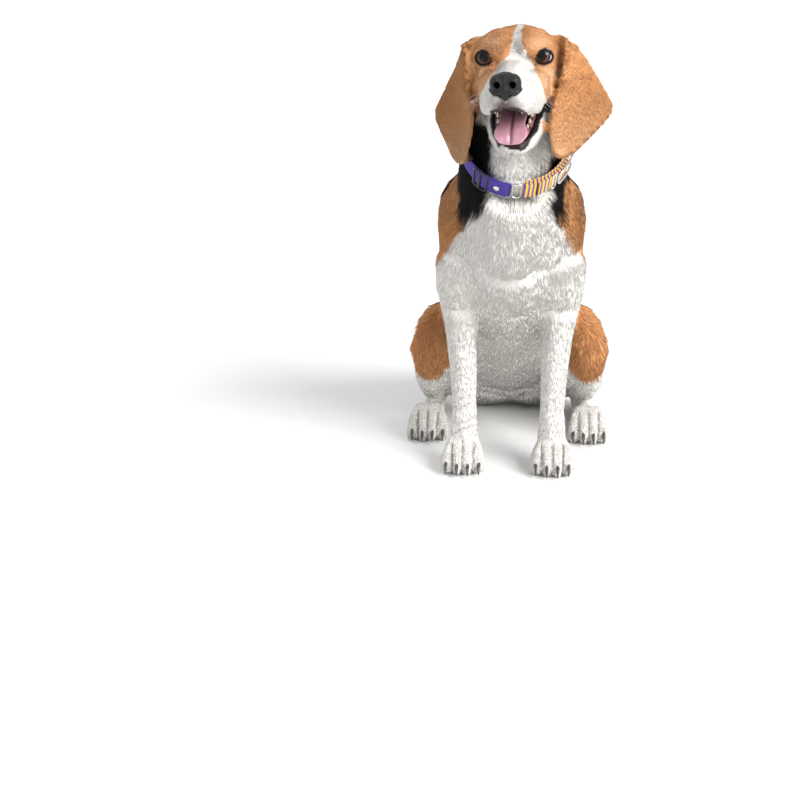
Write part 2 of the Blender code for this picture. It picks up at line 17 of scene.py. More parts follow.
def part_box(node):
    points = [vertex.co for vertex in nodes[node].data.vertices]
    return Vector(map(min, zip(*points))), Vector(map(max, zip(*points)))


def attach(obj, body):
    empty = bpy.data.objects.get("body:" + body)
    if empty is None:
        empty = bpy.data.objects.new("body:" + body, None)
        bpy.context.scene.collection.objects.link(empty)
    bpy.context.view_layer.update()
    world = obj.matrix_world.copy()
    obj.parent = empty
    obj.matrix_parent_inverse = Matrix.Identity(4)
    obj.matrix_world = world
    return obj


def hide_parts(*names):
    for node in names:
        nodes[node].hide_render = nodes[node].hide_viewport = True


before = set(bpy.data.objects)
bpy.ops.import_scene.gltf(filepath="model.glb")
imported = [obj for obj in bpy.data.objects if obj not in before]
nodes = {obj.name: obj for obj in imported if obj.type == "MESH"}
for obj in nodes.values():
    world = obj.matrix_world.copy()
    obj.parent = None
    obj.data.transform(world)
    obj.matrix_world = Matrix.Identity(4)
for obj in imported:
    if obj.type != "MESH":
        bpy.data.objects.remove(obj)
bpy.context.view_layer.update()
chance = np.random.default_rng(7)

MM = 0.001
SIDES = (("left", 1), ("right", -1))

# The head's own turn, nod and roll in degrees, and the jaw's hinge in millimetres from between the eyes.
HEAD_TURN, HEAD_NOD, HEAD_ROLL = -7.0, 3.0, -3.0
JAW_HINGE, JAW_OPEN = (0.0, 52.0, -28.0), 31.0
EYE_RADIUS = 11.2
EYE_OUT = 31.0  # each eye's centre from the head's middle, in millimetres
EYE_BACK = 2.5


def middle_of(node):
    low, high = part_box(node)
    return (low + high) / 2


def turned(angle, axis):
    return Matrix.Rotation(math.radians(angle), 4, axis)


def eye_frame(side):
    """Where an eye sits on the head, turned a little outwards."""
    return Matrix.Translation(Vector((side * EYE_OUT, EYE_BACK, 0)) * MM) @ turned(side * 14, "Z")


HEAD_TILT = turned(HEAD_TURN, "Z") @ turned(-HEAD_NOD, "X") @ turned(HEAD_ROLL, "Y")
EYES_MIDDLE = (middle_of("eye_left") + middle_of("eye_right")) / 2
BETWEEN_EYES = EYES_MIDDLE - HEAD_TILT @ Vector((0, EYE_BACK * MM, 0))
HEAD = Matrix.Translation(BETWEEN_EYES) @ HEAD_TILT
JAW = HEAD @ Matrix.Translation(Vector(JAW_HINGE) * MM) @ turned(JAW_OPEN, "X")


# ---- small tools for meshes


def put_in_scene(thing):
    bpy.context.scene.collection.objects.link(thing)


def apply_modifiers(thing):
    bpy.context.view_layer.update()
    graph = bpy.context.evaluated_depsgraph_get()
    mesh = bpy.data.meshes.new_from_object(thing.evaluated_get(graph))
    thing.modifiers.clear()
    thing.data = mesh


def new_piece(name, shape, material=None):
    shape.normal_update()
    mesh = bpy.data.meshes.new(name)
    shape.to_mesh(mesh)
    shape.free()
    mesh.shade_smooth()
    made = bpy.data.objects.new(name, mesh)
    put_in_scene(made)
    if material:
        mesh.materials.append(material)
    return made


def finish_piece(piece, slot, *replaced):
    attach(piece, "root")
    if replaced:
        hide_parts(*replaced)


def smooth_between(stations, share):
    """The station a share of the way along a list of them, on a curve through them all."""
    spans = len(stations) - 1
    at = min(max(share, 0.0) * spans, spans - 1e-6)
    i = int(at)
    t = at - i
    a, b, c, d = (stations[min(max(i + k, 0), spans)] for k in (-1, 0, 1, 2))
    return [
        0.5 * (2 * q + (r - p) * t + (2 * p - 5 * q + 4 * r - s) * t**2 + (3 * q - p - 3 * r + s) * t**3)
        for p, q, r, s in zip(a, b, c, d)
    ]


def bent_grid(along, around, place):
    """A grid whose points, from (0, 0) to (1, 1), are put where place says, with its seams closed."""
    shape = bmesh.new()
    bmesh.ops.create_grid(shape, x_segments=along, y_segments=around, size=1.0)
    for vert in shape.verts:
        vert.co = place((1 + vert.co.x) / 2, (1 + vert.co.y) / 2)
    bmesh.ops.remove_doubles(shape, verts=shape.verts, dist=1e-6)
    bmesh.ops.recalc_face_normals(shape, faces=shape.faces)
    return shape


def join_in(shape, other):
    """Adds another shape to this one, and frees it."""
    made = bpy.data.meshes.new("joined")
    other.to_mesh(made)
    other.free()
    shape.from_mesh(made)
    bpy.data.meshes.remove(made)


def limb(shape, stations, place_in, sides=14, steps=18, across=Vector((1, 0, 0))):
    """Adds a round-ended rod through stations (x, y, z, half width, half depth), in millimetres."""

    def spot(along, around):
        share = min(max((along - 0.12) / 0.76, 0.0), 1.0)
        x, y, z, wide, deep = smooth_between(stations, share)
        run = Vector(smooth_between(stations, share + 0.02)[:3])
        run = (run - Vector(smooth_between(stations, share - 0.02)[:3])).normalized()
        side = (across - across.dot(run) * run).normalized()
        cap = max(0.12 - along, along - 0.88, 0.0) / 0.12 * math.pi / 2
        bulge = math.sin(cap) * min(wide, deep) * (1 if along > 0.5 else -1)
        turn = 2 * math.pi * around
        out = side * (wide * math.cos(turn)) + run.cross(side) * (deep * math.sin(turn))
        return place_in @ ((Vector((x, y, z)) + run * bulge + out * max(math.cos(cap), 0.0)) * MM)

    rod = bent_grid(steps, sides, spot)
    rod.normal_update()
    bmesh.ops.recalc_face_normals(rod, faces=rod.faces)
    join_in(shape, rod)


def mirrored(stations, side):
    return [(side * s[0], *s[1:]) for s in stations]


def ball(shape, centre, radii, place_in, detail=3):
    place = place_in @ Matrix.Translation(Vector(centre) * MM)
    size = Matrix.Diagonal((*(r * MM for r in radii), 1.0))
    bmesh.ops.create_icosphere(shape, subdivisions=detail, radius=1.0, matrix=place @ size)


def melt(thing, voxel, rounds):
    """Melts overlapping shapes into one surface and relaxes it."""
    remesh = thing.modifiers.new("melt", "REMESH")
    remesh.mode = "VOXEL"
    remesh.voxel_size = voxel
    relax = thing.modifiers.new("relax", "SMOOTH")
    relax.factor = 0.5
    relax.iterations = rounds
    apply_modifiers(thing)
    thing.data.shade_smooth()


def cut_away(thing, cutter):
    """Cuts a shape out of a piece, and removes it."""
    cut = thing.modifiers.new("cut", "BOOLEAN")
    cut.operation, cut.object = "DIFFERENCE", cutter
    apply_modifiers(thing)
    bpy.data.objects.remove(cutter)


def read_array(sequence, field, width, kind=np.float64):
    values = np.empty(len(sequence) * width, kind)
    sequence.foreach_get(field, values)
    return values.reshape(-1, width) if width > 1 else values


def points_of(mesh):
    return read_array(mesh.vertices, "co", 3)


def unit(vectors):
    return vectors / np.maximum(np.linalg.norm(vectors, axis=1, keepdims=True), 1e-9)


def laid_on(vectors, normals):
    """Vectors with their share along the normals taken away."""
    return vectors - normals * (vectors * normals).sum(1, keepdims=True)


def store(mesh, name, values, kind="FLOAT", field="value"):
    """Keeps a value or a colour for each point of a mesh."""
    mesh.attributes.new(name, kind, "POINT").data.foreach_set(field, values.ravel())


def in_frame(points, place):
    """World points (metres) as millimetres in a frame."""
    inverse = np.array(place.inverted())
    return (points @ inverse[:3, :3].T + inverse[:3, 3]) / MM


def soft_step(low, high, value):
    t = np.clip((value - low) / (high - low), 0.0, 1.0)
    return t * t * (3 - 2 * t)


def cloudy(points, size, seed):
    """Smooth noise from -1 to 1 with patches about so many metres across."""
    cells = points / size + seed * 17.31
    base = np.floor(cells).astype(np.int64)
    part = cells - base
    part = part * part * (3 - 2 * part)
    total = np.zeros(len(points))
    for corner in range(8):
        offset = np.array([corner & 1, corner >> 1 & 1, corner >> 2 & 1])
        at = base + offset
        mixed = (at[:, 0] * 73856093) ^ (at[:, 1] * 19349663) ^ (at[:, 2] * 83492791)
        value = (mixed * 2654435761 % 4294967296) / 2147483648.0 - 1.0
        weight = np.prod(np.where(offset, part, 1 - part), axis=1)
        total += value * weight
    return total


# ---- shaders


class Socket:
    """A value in a shader, with its sums written as Python."""

    def __init__(self, shader, output):
        self.shader, self.output = shader, output

    def _math(self, operation, *values):
        return self.shader.add("ShaderNodeMath", {"operation": operation}, *values)

    def __add__(self, other):
        return self._math("ADD", self, other)

    def __mul__(self, other):
        return self._math("MULTIPLY", self, other)

    def __sub__(self, other):
        return self._math("SUBTRACT", self, other)

    def __rsub__(self, other):
        return self._math("SUBTRACT", other, self)

    __radd__, __rmul__ = __add__, __mul__

    def sine(self):
        return self._math("SINE", self)

    def above(self, edge, softness):
        """0 below the edge and 1 above it, over a soft step."""
        soft = {"interpolation_type": "SMOOTHSTEP", "clamp": True}
        return self.shader.add("ShaderNodeMapRange", soft, self, edge - softness, edge + softness)


class Shader:
    """A Principled material under construction."""

    def __init__(self, name, colour=(0.5, 0.5, 0.5), **constants):
        self.material = bpy.data.materials.new(name)
        self.material.use_nodes = True
        self.tree = self.material.node_tree
        self.surface = self.tree.nodes["Principled BSDF"]
        self.surface.inputs["Base Color"].default_value = (*colour, 1)
        for socket, value in constants.items():
            self.surface.inputs[socket.replace("_", " ").title().replace("Ior", "IOR")].default_value = value

    def add(self, kind, settings, *values, output=0, **named):
        """A node of a type with its settings, and the values or links of its sockets, in order or by name."""
        node = self.tree.nodes.new(kind)
        for setting, value in settings.items():
            setattr(node, setting, value)
        for key, value in [*enumerate(values), *named.items()]:
            socket = node.inputs[key if isinstance(key, int) else key.replace("_", " ").title()]
            if isinstance(value, Socket):
                self.tree.links.new(value.output, socket)
            elif value is not None:
                socket.default_value = value
        return Socket(self, node.outputs[output])

    def object_place(self):
        return self.add("ShaderNodeTexCoord", {}, output="Object")

    def attribute(self, name, output="Color"):
        return self.add("ShaderNodeAttribute", {"attribute_name": name}, output=output)

    def noise(self, scale, detail=3.0, roughness=0.55, place=None):
        place = place or self.object_place()
        return self.add("ShaderNodeTexNoise", {}, place, scale=scale, detail=detail, roughness=roughness)

    def blend(self, share, first, second, how="MIX"):
        """A colour between two colours."""
        node = self.tree.nodes.new("ShaderNodeMix")
        node.data_type, node.blend_type = "RGBA", how
        for socket, value in ((node.inputs[0], share), (node.inputs[6], first), (node.inputs[7], second)):
            if isinstance(value, Socket):
                self.tree.links.new(value.output, socket)
            else:
                socket.default_value = (*value, 1) if isinstance(value, tuple) else value
        return Socket(self, node.outputs[2])

    def split(self, vector):
        """The x, y and z of a vector."""
        node = self.tree.nodes.new("ShaderNodeSeparateXYZ")
        self.tree.links.new(vector.output, node.inputs[0])
        return [Socket(self, output) for output in node.outputs]

    def paint(self, **sockets):
        for name, value in sockets.items():
            self.tree.links.new(value.output, self.surface.inputs[name.replace("_", " ").title()])

    def bump(self, height, strength, distance):
        bumped = self.add("ShaderNodeBump", {}, strength=strength, distance=distance, height=height)
        self.tree.links.new(bumped.output, self.surface.inputs["Normal"])


# ---- the coat's plan


# How the hair lies over each part: (away from the midline, y, z), then how deep the coat is over the
# skin and how long a hair is, both in millimetres.
COAT = {
    "muzzle": ((0.25, 1.0, -0.35), 0.4, 3.0),
    "cranium": ((0.25, 1.0, -0.15), 0.6, 5.0),
    "lower_jaw": ((0.0, 1.0, -0.6), 0.5, 4.0),
    "ear": ((0.05, 0.1, -1.0), 0.4, 5.5),
    "neck": ((0.1, 0.25, -1.0), 1.8, 12.0),
    "chest": ((0.1, 0.25, -1.0), 1.8, 13.0),
    "abdomen": ((0.1, 0.65, -0.75), 1.8, 13.0),
    "upper_arm": ((0.0, 0.15, -1.0), 1.5, 11.0),
    "forearm": ((0.0, 0.2, -1.0), 1.0, 8.0),
    "fore_paw": ((0.0, -0.9, -0.45), 0.8, 5.0),
    "thigh": ((0.0, 0.25, -1.0), 1.7, 12.0),
    "shank": ((0.0, 0.75, -0.65), 1.3, 10.0),
    "hock": ((0.0, -1.0, -0.25), 0.9, 7.0),
    "hind_paw": ((0.0, -0.9, -0.4), 0.8, 5.0),
    "tail_base": ((0.1, 0.7, -0.7), 1.8, 13.0),
    "tail_tip": ((1.0, 0.4, 0.0), 1.8, 13.0),
}
FLESH = [name for name in sorted(nodes) if name.startswith(tuple(COAT))]
PLAN = {name: next(start for start in COAT if name.startswith(start)) for name in FLESH}

# Colours of hair and skin, as linear light.
TAN = np.array((0.72, 0.345, 0.145))
PALE_TAN = np.array((0.80, 0.50, 0.29))
RUST = np.array((0.42, 0.165, 0.055))
WHITE = np.array((0.91, 0.88, 0.83))
BLACK = np.array((0.010, 0.009, 0.009))
GREY = np.array((0.30, 0.27, 0.26))
DUSKY = np.array((0.15, 0.095, 0.09))
LIP = np.array((0.011, 0.008, 0.009))

# The blaze's edges down the face, square to the face: height, right edge and left edge, in millimetres.
BLAZE = np.array(
    [(45, 1.5, 4.0), (30, 0.5, 6.5), (15, -1.5, 9.5), (2, -5.5, 14.0), (-9, -16.0, 19.0)]
    + [(-24, -28.0, 25.5), (-38, -36.0, 29.5), (-56, -40.0, 36.0), (-90, -44.0, 44.0)]
)[::-1]


def coat_colour(points, weights, up):
    """The markings at these points: weights are the shares of each part's name, and up the normals."""

    def share(*starts):
        return sum(weights[:, index] for index, name in enumerate(COAT) if name in starts)

    def mark(colour, other, amount):
        return colour + (other - colour) * amount[:, None]

    mottle = cloudy(points, 0.011, 1)
    fine = cloudy(points, 0.0035, 2)
    x, y, z = in_frame(points, HEAD).T
    face_x = x + 0.127 * y + 1.2 * mottle + 0.9 * fine
    face_z = z + 0.12 * y + 1.5 * fine
    head = share("cranium", "muzzle", "lower_jaw")
    front = soft_step(34, 20, y)

    # the head: tan, paler round the eyes and cheeks, with a white blaze and muzzle
    colour = np.repeat(TAN[None], len(points), axis=0)
    colour *= (1 + 0.06 * mottle + 0.02 * fine)[:, None]
    for side in (1, -1):
        brow = np.exp(-(((x - side * 25) / 15) ** 2) - ((z - 15) / 9) ** 2) * front
        cheek = np.exp(-(((x - side * 36) / 15) ** 2) - ((z + 24) / 16) ** 2) * front
        colour = mark(colour, PALE_TAN, np.clip(0.8 * brow + 0.95 * cheek, 0, 1) * head)
    right = np.interp(face_z, BLAZE[:, 0], BLAZE[:, 1])
    left = np.interp(face_z, BLAZE[:, 0], BLAZE[:, 2])
    blaze = soft_step(-1.2, 1.2, face_x - right) * soft_step(-1.2, 1.2, left - face_x)
    blaze *= soft_step(15, 9, y) * (1 - soft_step(-8, 2, y + 2 * mottle) * soft_step(-24, -32, z))
    crown = soft_step(-1.0, 1.0, 3.2 - abs(x - 2.5 + mottle)) * soft_step(-20, -4, z) * soft_step(62, 45, y)
    colour = mark(colour, WHITE, np.maximum(blaze, crown) * head)
    jaw_y = in_frame(points, JAW)[:, 1]
    colour = mark(colour, WHITE, share("lower_jaw") * soft_step(-26, -44, jaw_y))
    for side in (1, -1):
        corner = ((x - side * 33) / 6) ** 2 + ((y - 2) / 8) ** 2 + ((z + 55) / 5.5) ** 2
        colour = mark(colour, BLACK, soft_step(1.6, 0.7, corner + 0.2 * fine) * head)
    # dark hairs under the nose and on the chin
    specks = soft_step(0.25, 0.8, cloudy(points, 0.0022, 3))
    under_nose = np.exp(-(((x + 1) / 12) ** 2) - ((z + 40) / 8) ** 2) * soft_step(-56, -68, y)
    colour = mark(colour, DUSKY, np.clip(under_nose * (0.95 + 0.6 * specks), 0, 1) * head)
    jx, jy, jz = in_frame(points, JAW).T
    chin = np.exp(-((jx / 9) ** 2) - ((jy + 112) / 9) ** 2 - ((jz + 14) / 9) ** 2)
    colour = mark(colour, GREY, chin * specks * share("lower_jaw"))

    # the ears: a deeper, redder tan, paler low down
    ear = share("ear")
    ear_colour = mark(np.repeat(TAN[None] * 0.92, len(points), axis=0), RUST, soft_step(10, 30, z) * 0.35)
    ear_colour = mark(ear_colour, PALE_TAN, soft_step(-40, -105, z + 8 * mottle) * 0.5)
    # the dog's right ear (x below 0) is painted at 0.72 of its colour: painted shade, as that ear is turned
    # from the light
    ear_colour *= ((1 + 0.07 * mottle + 0.02 * fine) * np.where(x < 0, 0.72, 1.0))[:, None]
    colour = mark(colour, ear_colour, soft_step(0.35, 0.65, ear))

    # the body: black saddle, tan sides and haunches, white throat, chest, belly, legs and tail tip
    wx, wy, wz = (points / MM).T
    dorsal = (wy + SHIFT_Y) * 0.755 + wz * 0.656 - 150 + 9 * mottle + 3 * fine
    body = 1 - np.clip(head + ear, 0, 1)
    trunk = np.repeat(TAN[None] * 0.80, len(points), axis=0) * (1 + 0.10 * mottle)[:, None]
    saddle = soft_step(-14, 4, dorsal - 90 * soft_step(0.1, -0.35, up[:, 1]) * soft_step(230, 290, wz))
    trunk = mark(trunk, BLACK, saddle)
    trunk = mark(trunk, WHITE, soft_step(-34, -50, dorsal))
    neck = soft_step(268, 300, wz + 10 * mottle)
    flank = soft_step(55, 63, abs(wx) + 3 * mottle) * soft_step(366, 346, wz + 4 * mottle)
    trunk = mark(trunk, BLACK, neck * (1 - flank))
    trunk = mark(trunk, TAN * 0.66, neck * flank * (1 - saddle))
    nape_tan = neck * soft_step(398, 424, wz + 6 * mottle) * soft_step(-0.1, 0.5, up[:, 1])
    trunk = mark(trunk, TAN * 0.9, nape_tan)
    spread = np.interp(wz, (225, 262, 285, 312, 335, 400), (74, 66, 50, 36, 31, 33))
    bib = soft_step(-5, 5, spread - abs(wx - np.interp(wz, (285, 330), (0, 9))) + 5 * mottle + 3 * fine)
    bib *= soft_step(0.15, -0.1, up[:, 1] + 0.1 * mottle) * soft_step(60, 20, dorsal)
    trunk = mark(trunk, WHITE, bib)
    legs = share("forearm", "fore_paw", "hock", "hind_paw")
    arm = share("upper_arm") * soft_step(205, 165, wz + 12 * mottle)
    shank = share("shank") * soft_step(85, 55, wz + 8 * mottle)
    haunch = share("thigh")
    trunk = mark(trunk, TAN * 0.9, haunch * soft_step(0.3, 0.6, haunch) * soft_step(24, -6, dorsal))
    trunk = mark(trunk, WHITE, np.clip(legs + arm + shank, 0, 1))
    tail = share("tail_base", "tail_tip")
    tail_colour = mark(np.repeat(BLACK[None], len(points), axis=0), WHITE, soft_step(62, 80, wx + 5 * mottle))
    trunk = mark(trunk, tail_colour, soft_step(0.4, 0.7, tail))
    colour = mark(colour, trunk, soft_step(0.35, 0.65, body))
    return np.clip(colour, 0.004, 0.92)


# ---- the collar's place


# The solids were drawn round another origin, and then moved as a whole.
PART_FRAME = Matrix.Translation(BETWEEN_EYES - Vector((0, -108, 475)) * MM)
SHIFT_Y = -PART_FRAME.translation.y / MM

COLLAR = Matrix.Translation(BETWEEN_EYES + Vector((3, 56, -104)) * MM) @ turned(7, "Y") @ turned(33.5, "X")
COLLAR_HALF = (59.0, 72.0)  # the strap's inner half width and half depth, in millimetres
STRAP_WIDE = 20.0
STRIPE_PITCH = 4.8  # one yellow and one lilac stripe, in millimetres
STEP_TURNS = np.radians(np.arange(-180, 181))
ROUND_LENGTHS = np.cumsum(np.hypot(COLLAR_HALF[0] * np.cos(STEP_TURNS), COLLAR_HALF[1] * np.sin(STEP_TURNS)))
ROUND_LENGTHS *= math.radians(1)


def under_collar(tips):
    """Hair ends that would poke into the collar, tucked in beneath it."""
    local = in_frame(tips, COLLAR)
    across = np.hypot(local[:, 0] / COLLAR_HALF[0], local[:, 1] / COLLAR_HALF[1])
    beside = soft_step(STRAP_WIDE / 2 + 6, STRAP_WIDE / 2 + 2, abs(local[:, 2]))
    tuck = np.where(across > 0.965, beside * (1 - 0.965 / np.maximum(across, 0.1)), 0)
    local[:, :2] *= (1 - tuck)[:, None]
    place = np.array(COLLAR)
    return local * MM @ place[:3, :3].T + place[:3, 3]


# ---- the skin


def skin_shape():
    """One surface from all the flesh nodes, each grown by more than half of the gap between them."""
    shape = bmesh.new()
    for name in FLESH:
        part = bmesh.new()
        part.from_mesh(nodes[name].data)
        bmesh.ops.remove_doubles(part, verts=part.verts, dist=1e-5)
        part.normal_update()
        for vert in part.verts:
            vert.co += vert.normal * 0.45 * MM
        join_in(shape, part)
    for _, side in SIDES:
        ring = [
            (10.2 * math.cos(a), -5.2, 9.8 * math.sin(a), 2.9, 3.0)
            for a in (math.radians(d) for d in range(0, 361, 24))
        ]
        limb(shape, ring, HEAD @ eye_frame(side), sides=10, steps=30, across=Vector((0, 1, 0)))
    for _, side in SIDES:
        ball(shape, (side * 30, 25, -54), (7, 20, 17), HEAD)  # the cheek behind the mouth's corner
        ball(shape, (side * 27.5, -32, -47), (5.5, 24, 9.5), HEAD)  # the hanging upper lip
    fold = [(-46, 10, 2, 5, 7), (-51, 7, -8, 6, 7), (-53, 5, -20, 7, 8)]
    fold += [(-52, 7, -31, 7, 8), (-44, 14, -44, 5, 6)]
    limb(shape, fold, HEAD)
    return shape


def spread_over(mesh_edges, count, values, rounds, normals=None):
    """Values at points shared out with their neighbours, again and again."""
    a, b = mesh_edges.T
    degree = np.bincount(a, minlength=count) + np.bincount(b, minlength=count)
    for _ in range(rounds):
        total = [np.bincount(a, v[b], count) + np.bincount(b, v[a], count) for v in values.T]
        total = np.stack(total, axis=1)
        values = 0.4 * values + 0.6 * total / np.maximum(degree, 1)[:, None]
        if normals is not None:
            values = unit(laid_on(values, normals))
    return values


def soften_ear_roots(mesh, points):
    """Relaxes the surface where the ears join the head."""
    local = in_frame(points, HEAD)
    off = np.linalg.norm((np.abs(local) - (46, 24, 12)) / (22, 22, 16), axis=1)
    soft = soft_step(1.3, 0.6, off)[:, None]
    edges = read_array(mesh.edges, "vertices", 2, np.int32)
    relaxed = spread_over(edges, len(points), points, 14)
    points += (relaxed - points) * soft
    mesh.vertices.foreach_set("co", points.ravel())
    mesh.update()


# Each pair of paws, in millimetres from the origin the solids were drawn round: its middle, its
# knuckles, the toes' spread and their reach.
PAWS = ((51, -98, 12.4, 11), (95, 12, 12.0, 12))


def toe_creases(points):
    """How deep the creases between the toes are, in millimetres."""
    x = abs(points[:, 0] / MM - BETWEEN_EYES.x / MM)
    y = points[:, 1] / MM + SHIFT_Y
    z = points[:, 2] / MM
    depth = np.zeros(len(points))
    for middle, knuckles, spread, _ in PAWS:
        length = soft_step(knuckles + 12, knuckles, y) * soft_step(knuckles - 60, knuckles - 40, y)
        for crease in (-1, 0, 1):
            across = np.exp(-(((x - middle - crease * spread) / 1.7) ** 2))
            depth = np.maximum(depth, 2.6 * across * length * soft_step(38, 30, z))
    return depth


SKIN_GRAIN = 0.0023  # the width of the skin's faces


def make_skin():
    skin = new_piece("skin", skin_shape())
    melt(skin, SKIN_GRAIN, 7)
    mesh = skin.data
    points = points_of(mesh)
    soften_ear_roots(mesh, points)
    normals = read_array(mesh.vertices, "normal", 3)
    edges = read_array(mesh.edges, "vertices", 2, np.int32)
    found = KDTree(sum(len(nodes[name].data.vertices) for name in FLESH))
    owners = []
    for name in FLESH:
        for vert in nodes[name].data.vertices:
            found.insert(vert.co, len(owners))
            owners.append(list(COAT).index(PLAN[name]))
    found.balance()
    nearest = np.array([found.find(point)[1] for point in points])
    part = np.array(owners)[nearest]
    weights = np.eye(len(COAT))[part]
    weights = spread_over(edges, len(points), weights, 5)
    rows = list(COAT.values())
    side = np.sign(points[:, 0:1])
    lies = np.array([row[0] for row in rows])[part]
    lies[:, 0:1] *= side
    lies = spread_over(edges, len(points), laid_on(lies, normals), 25, normals)
    depth = weights @ np.array([row[1] for row in rows])
    length = weights @ np.array([row[2] for row in rows])
    points -= normals * ((depth + toe_creases(points)) * MM)[:, None]
    points[:, 2] = np.maximum(points[:, 2], 0.0006)
    mesh.vertices.foreach_set("co", points.ravel())
    mesh.update()
    return skin, {
        "points": points,
        "normals": normals,
        "weights": weights,
        "lies": lies,
        "depth": depth,
        "length": length,
    }


def mouth_lining(points, normals, weights):
    """How far each point faces the middle of the open mouth, -1 to 1 near it, and -1 well away."""
    local = in_frame(points, HEAD)
    back, front = np.array((0, 48, -48.0)), np.array((3, -70, -72.0))
    along = np.clip(((local - back) @ (front - back)) / ((front - back) @ (front - back)), 0, 1)
    toward = back + along[:, None] * (front - back) - local
    away = np.linalg.norm(toward, axis=1)
    facing = ((normals @ np.array(HEAD.to_3x3())) * toward).sum(1) / np.maximum(away, 1)
    head = sum(weights[:, list(COAT).index(name)] for name in ("muzzle", "lower_jaw", "cranium"))
    return facing * soft_step(40, 34, away) * soft_step(0.4, 0.6, head) - 1 + soft_step(44, 40, away)


def round_eyes(points):
    """The bare black skin round each eye, with a point at its inner corner and a tear mark below it."""
    bare = np.zeros(len(points))
    for _, side in SIDES:
        u, v, w = in_frame(points, HEAD @ eye_frame(side)).T
        inner = np.clip(-u * side, 0, None)
        off = np.hypot(u / (10.2 + 0.05 * inner**1.4), (w + 0.12 * inner) / 9.2)
        near = soft_step(6, 0, v)
        bare = np.maximum(bare, soft_step(1.06, 0.94, off) * near)
        tear = np.hypot((u + side * 9.6) / 1.4, (w + 6.0) / 4.5)
        bare = np.maximum(bare, 0.9 * soft_step(1.1, 0.6, tear) * near)
    return bare


def skin_material():
    shader = Shader("skin", roughness=0.55, specular_ior_level=0.25)
    colour = shader.attribute("skin_colour")
    wet = shader.attribute("wet", "Fac")
    grain = shader.noise(700.0)
    tone = shader.blend(grain.above(0.5, 0.25) * 0.25, colour, (0.10, 0.06, 0.05))
    shader.paint(base_color=tone, roughness=0.62 - wet * 0.24)
    shader.bump(grain, 0.25, 0.0006)
    return shader.material


def hair_material():
    shader = Shader("coat", roughness=0.6, specular_ior_level=0.12)
    colour = shader.attribute("coat_colour")
    streak = shader.noise(420.0, 2.0)
    tone = shader.blend(streak.above(0.5, 0.3) * 0.15, colour, (0.93, 0.90, 0.86), "MULTIPLY")
    shader.paint(base_color=tone)
    return shader.material


LAYOUT_FACES = 4500


def lay_flat(skin):
    """A coarse copy of the skin laid out flat, as a tree of its faces with their places in the layout."""
    proxy = bpy.data.objects.new("proxy", skin.data.copy())
    put_in_scene(proxy)
    coarse = proxy.modifiers.new("coarse", "DECIMATE")
    coarse.ratio = LAYOUT_FACES / (2 * len(skin.data.polygons))
    coarse.use_collapse_triangulate = True
    apply_modifiers(proxy)
    bpy.context.view_layer.objects.active = proxy
    proxy.select_set(True)
    bpy.ops.object.mode_set(mode="EDIT")
    bpy.ops.mesh.select_all(action="SELECT")
    bpy.ops.uv.smart_project(angle_limit=math.radians(66), island_margin=0.004)
    bpy.ops.object.mode_set(mode="OBJECT")
    mesh = proxy.data
    points = points_of(mesh)
    corners = read_array(mesh.loops, "vertex_index", 1, np.int32).reshape(-1, 3)
    flat = read_array(mesh.uv_layers.active.data, "uv", 2).reshape(-1, 3, 2)
    tree = BVHTree.FromPolygons(points.tolist(), corners.tolist())
    bpy.data.objects.remove(proxy)
    return tree, points[corners], flat


def flat_places(layout, roots):
    """Each root's place in the flat layout."""
    tree, triangles, flat = layout
    found = np.array([tree.find_nearest(root)[2] for root in roots])
    a, b, c = (triangles[found, k] for k in range(3))
    across, up, to = b - a, c - a, roots - a
    d00, d01, d11 = (across * across).sum(1), (across * up).sum(1), (up * up).sum(1)
    d20, d21 = (to * across).sum(1), (to * up).sum(1)
    base = np.maximum(d00 * d11 - d01 * d01, 1e-18)
    v, w = (d11 * d20 - d01 * d21) / base, (d00 * d21 - d01 * d20) / base
    v, w = np.clip(v, 0, 1), np.clip(w, 0, 1)
    spots = flat[found]
    return spots[:, 0] * (1 - v - w)[:, None] + spots[:, 1] * v[:, None] + spots[:, 2] * w[:, None]


# Each coat piece: the parts it covers, how many hairs it has and how wide each is, in millimetres.
COATS = {
    "coat_muzzle": (("muzzle", "lower_jaw"), 44000, 0.55),
    "coat_cranium": (("cranium",), 46000, 0.72),
    "coat_ears": (("ear",), 44000, 0.85),
    "coat_neck_and_chest": (("neck", "chest"), 42000, 1.5),
    "coat_trunk": (("abdomen", "tail_base", "tail_tip"), 34000, 2.0),
    "coat_legs": (("upper_arm", "forearm", "fore_paw", "thigh", "shank", "hock", "hind_paw"), 38000, 1.7),
}
HAIR_FACES = np.array([(0, 2, 1), (0, 1, 3), (1, 2, 3), (2, 0, 3)])
HAIR_PATCH = np.array([(0.0, 0.0), (1.0, 0.0), (0.5, 0.5), (0.5, 1.0)])
PATCH_WIDE = 0.003
OFF_FLOOR = 0.0004  # how far the hair's tips stay above the floor
SWAY, FADING = 0.11, 0.06  # how much the hairs' lie and their shade vary


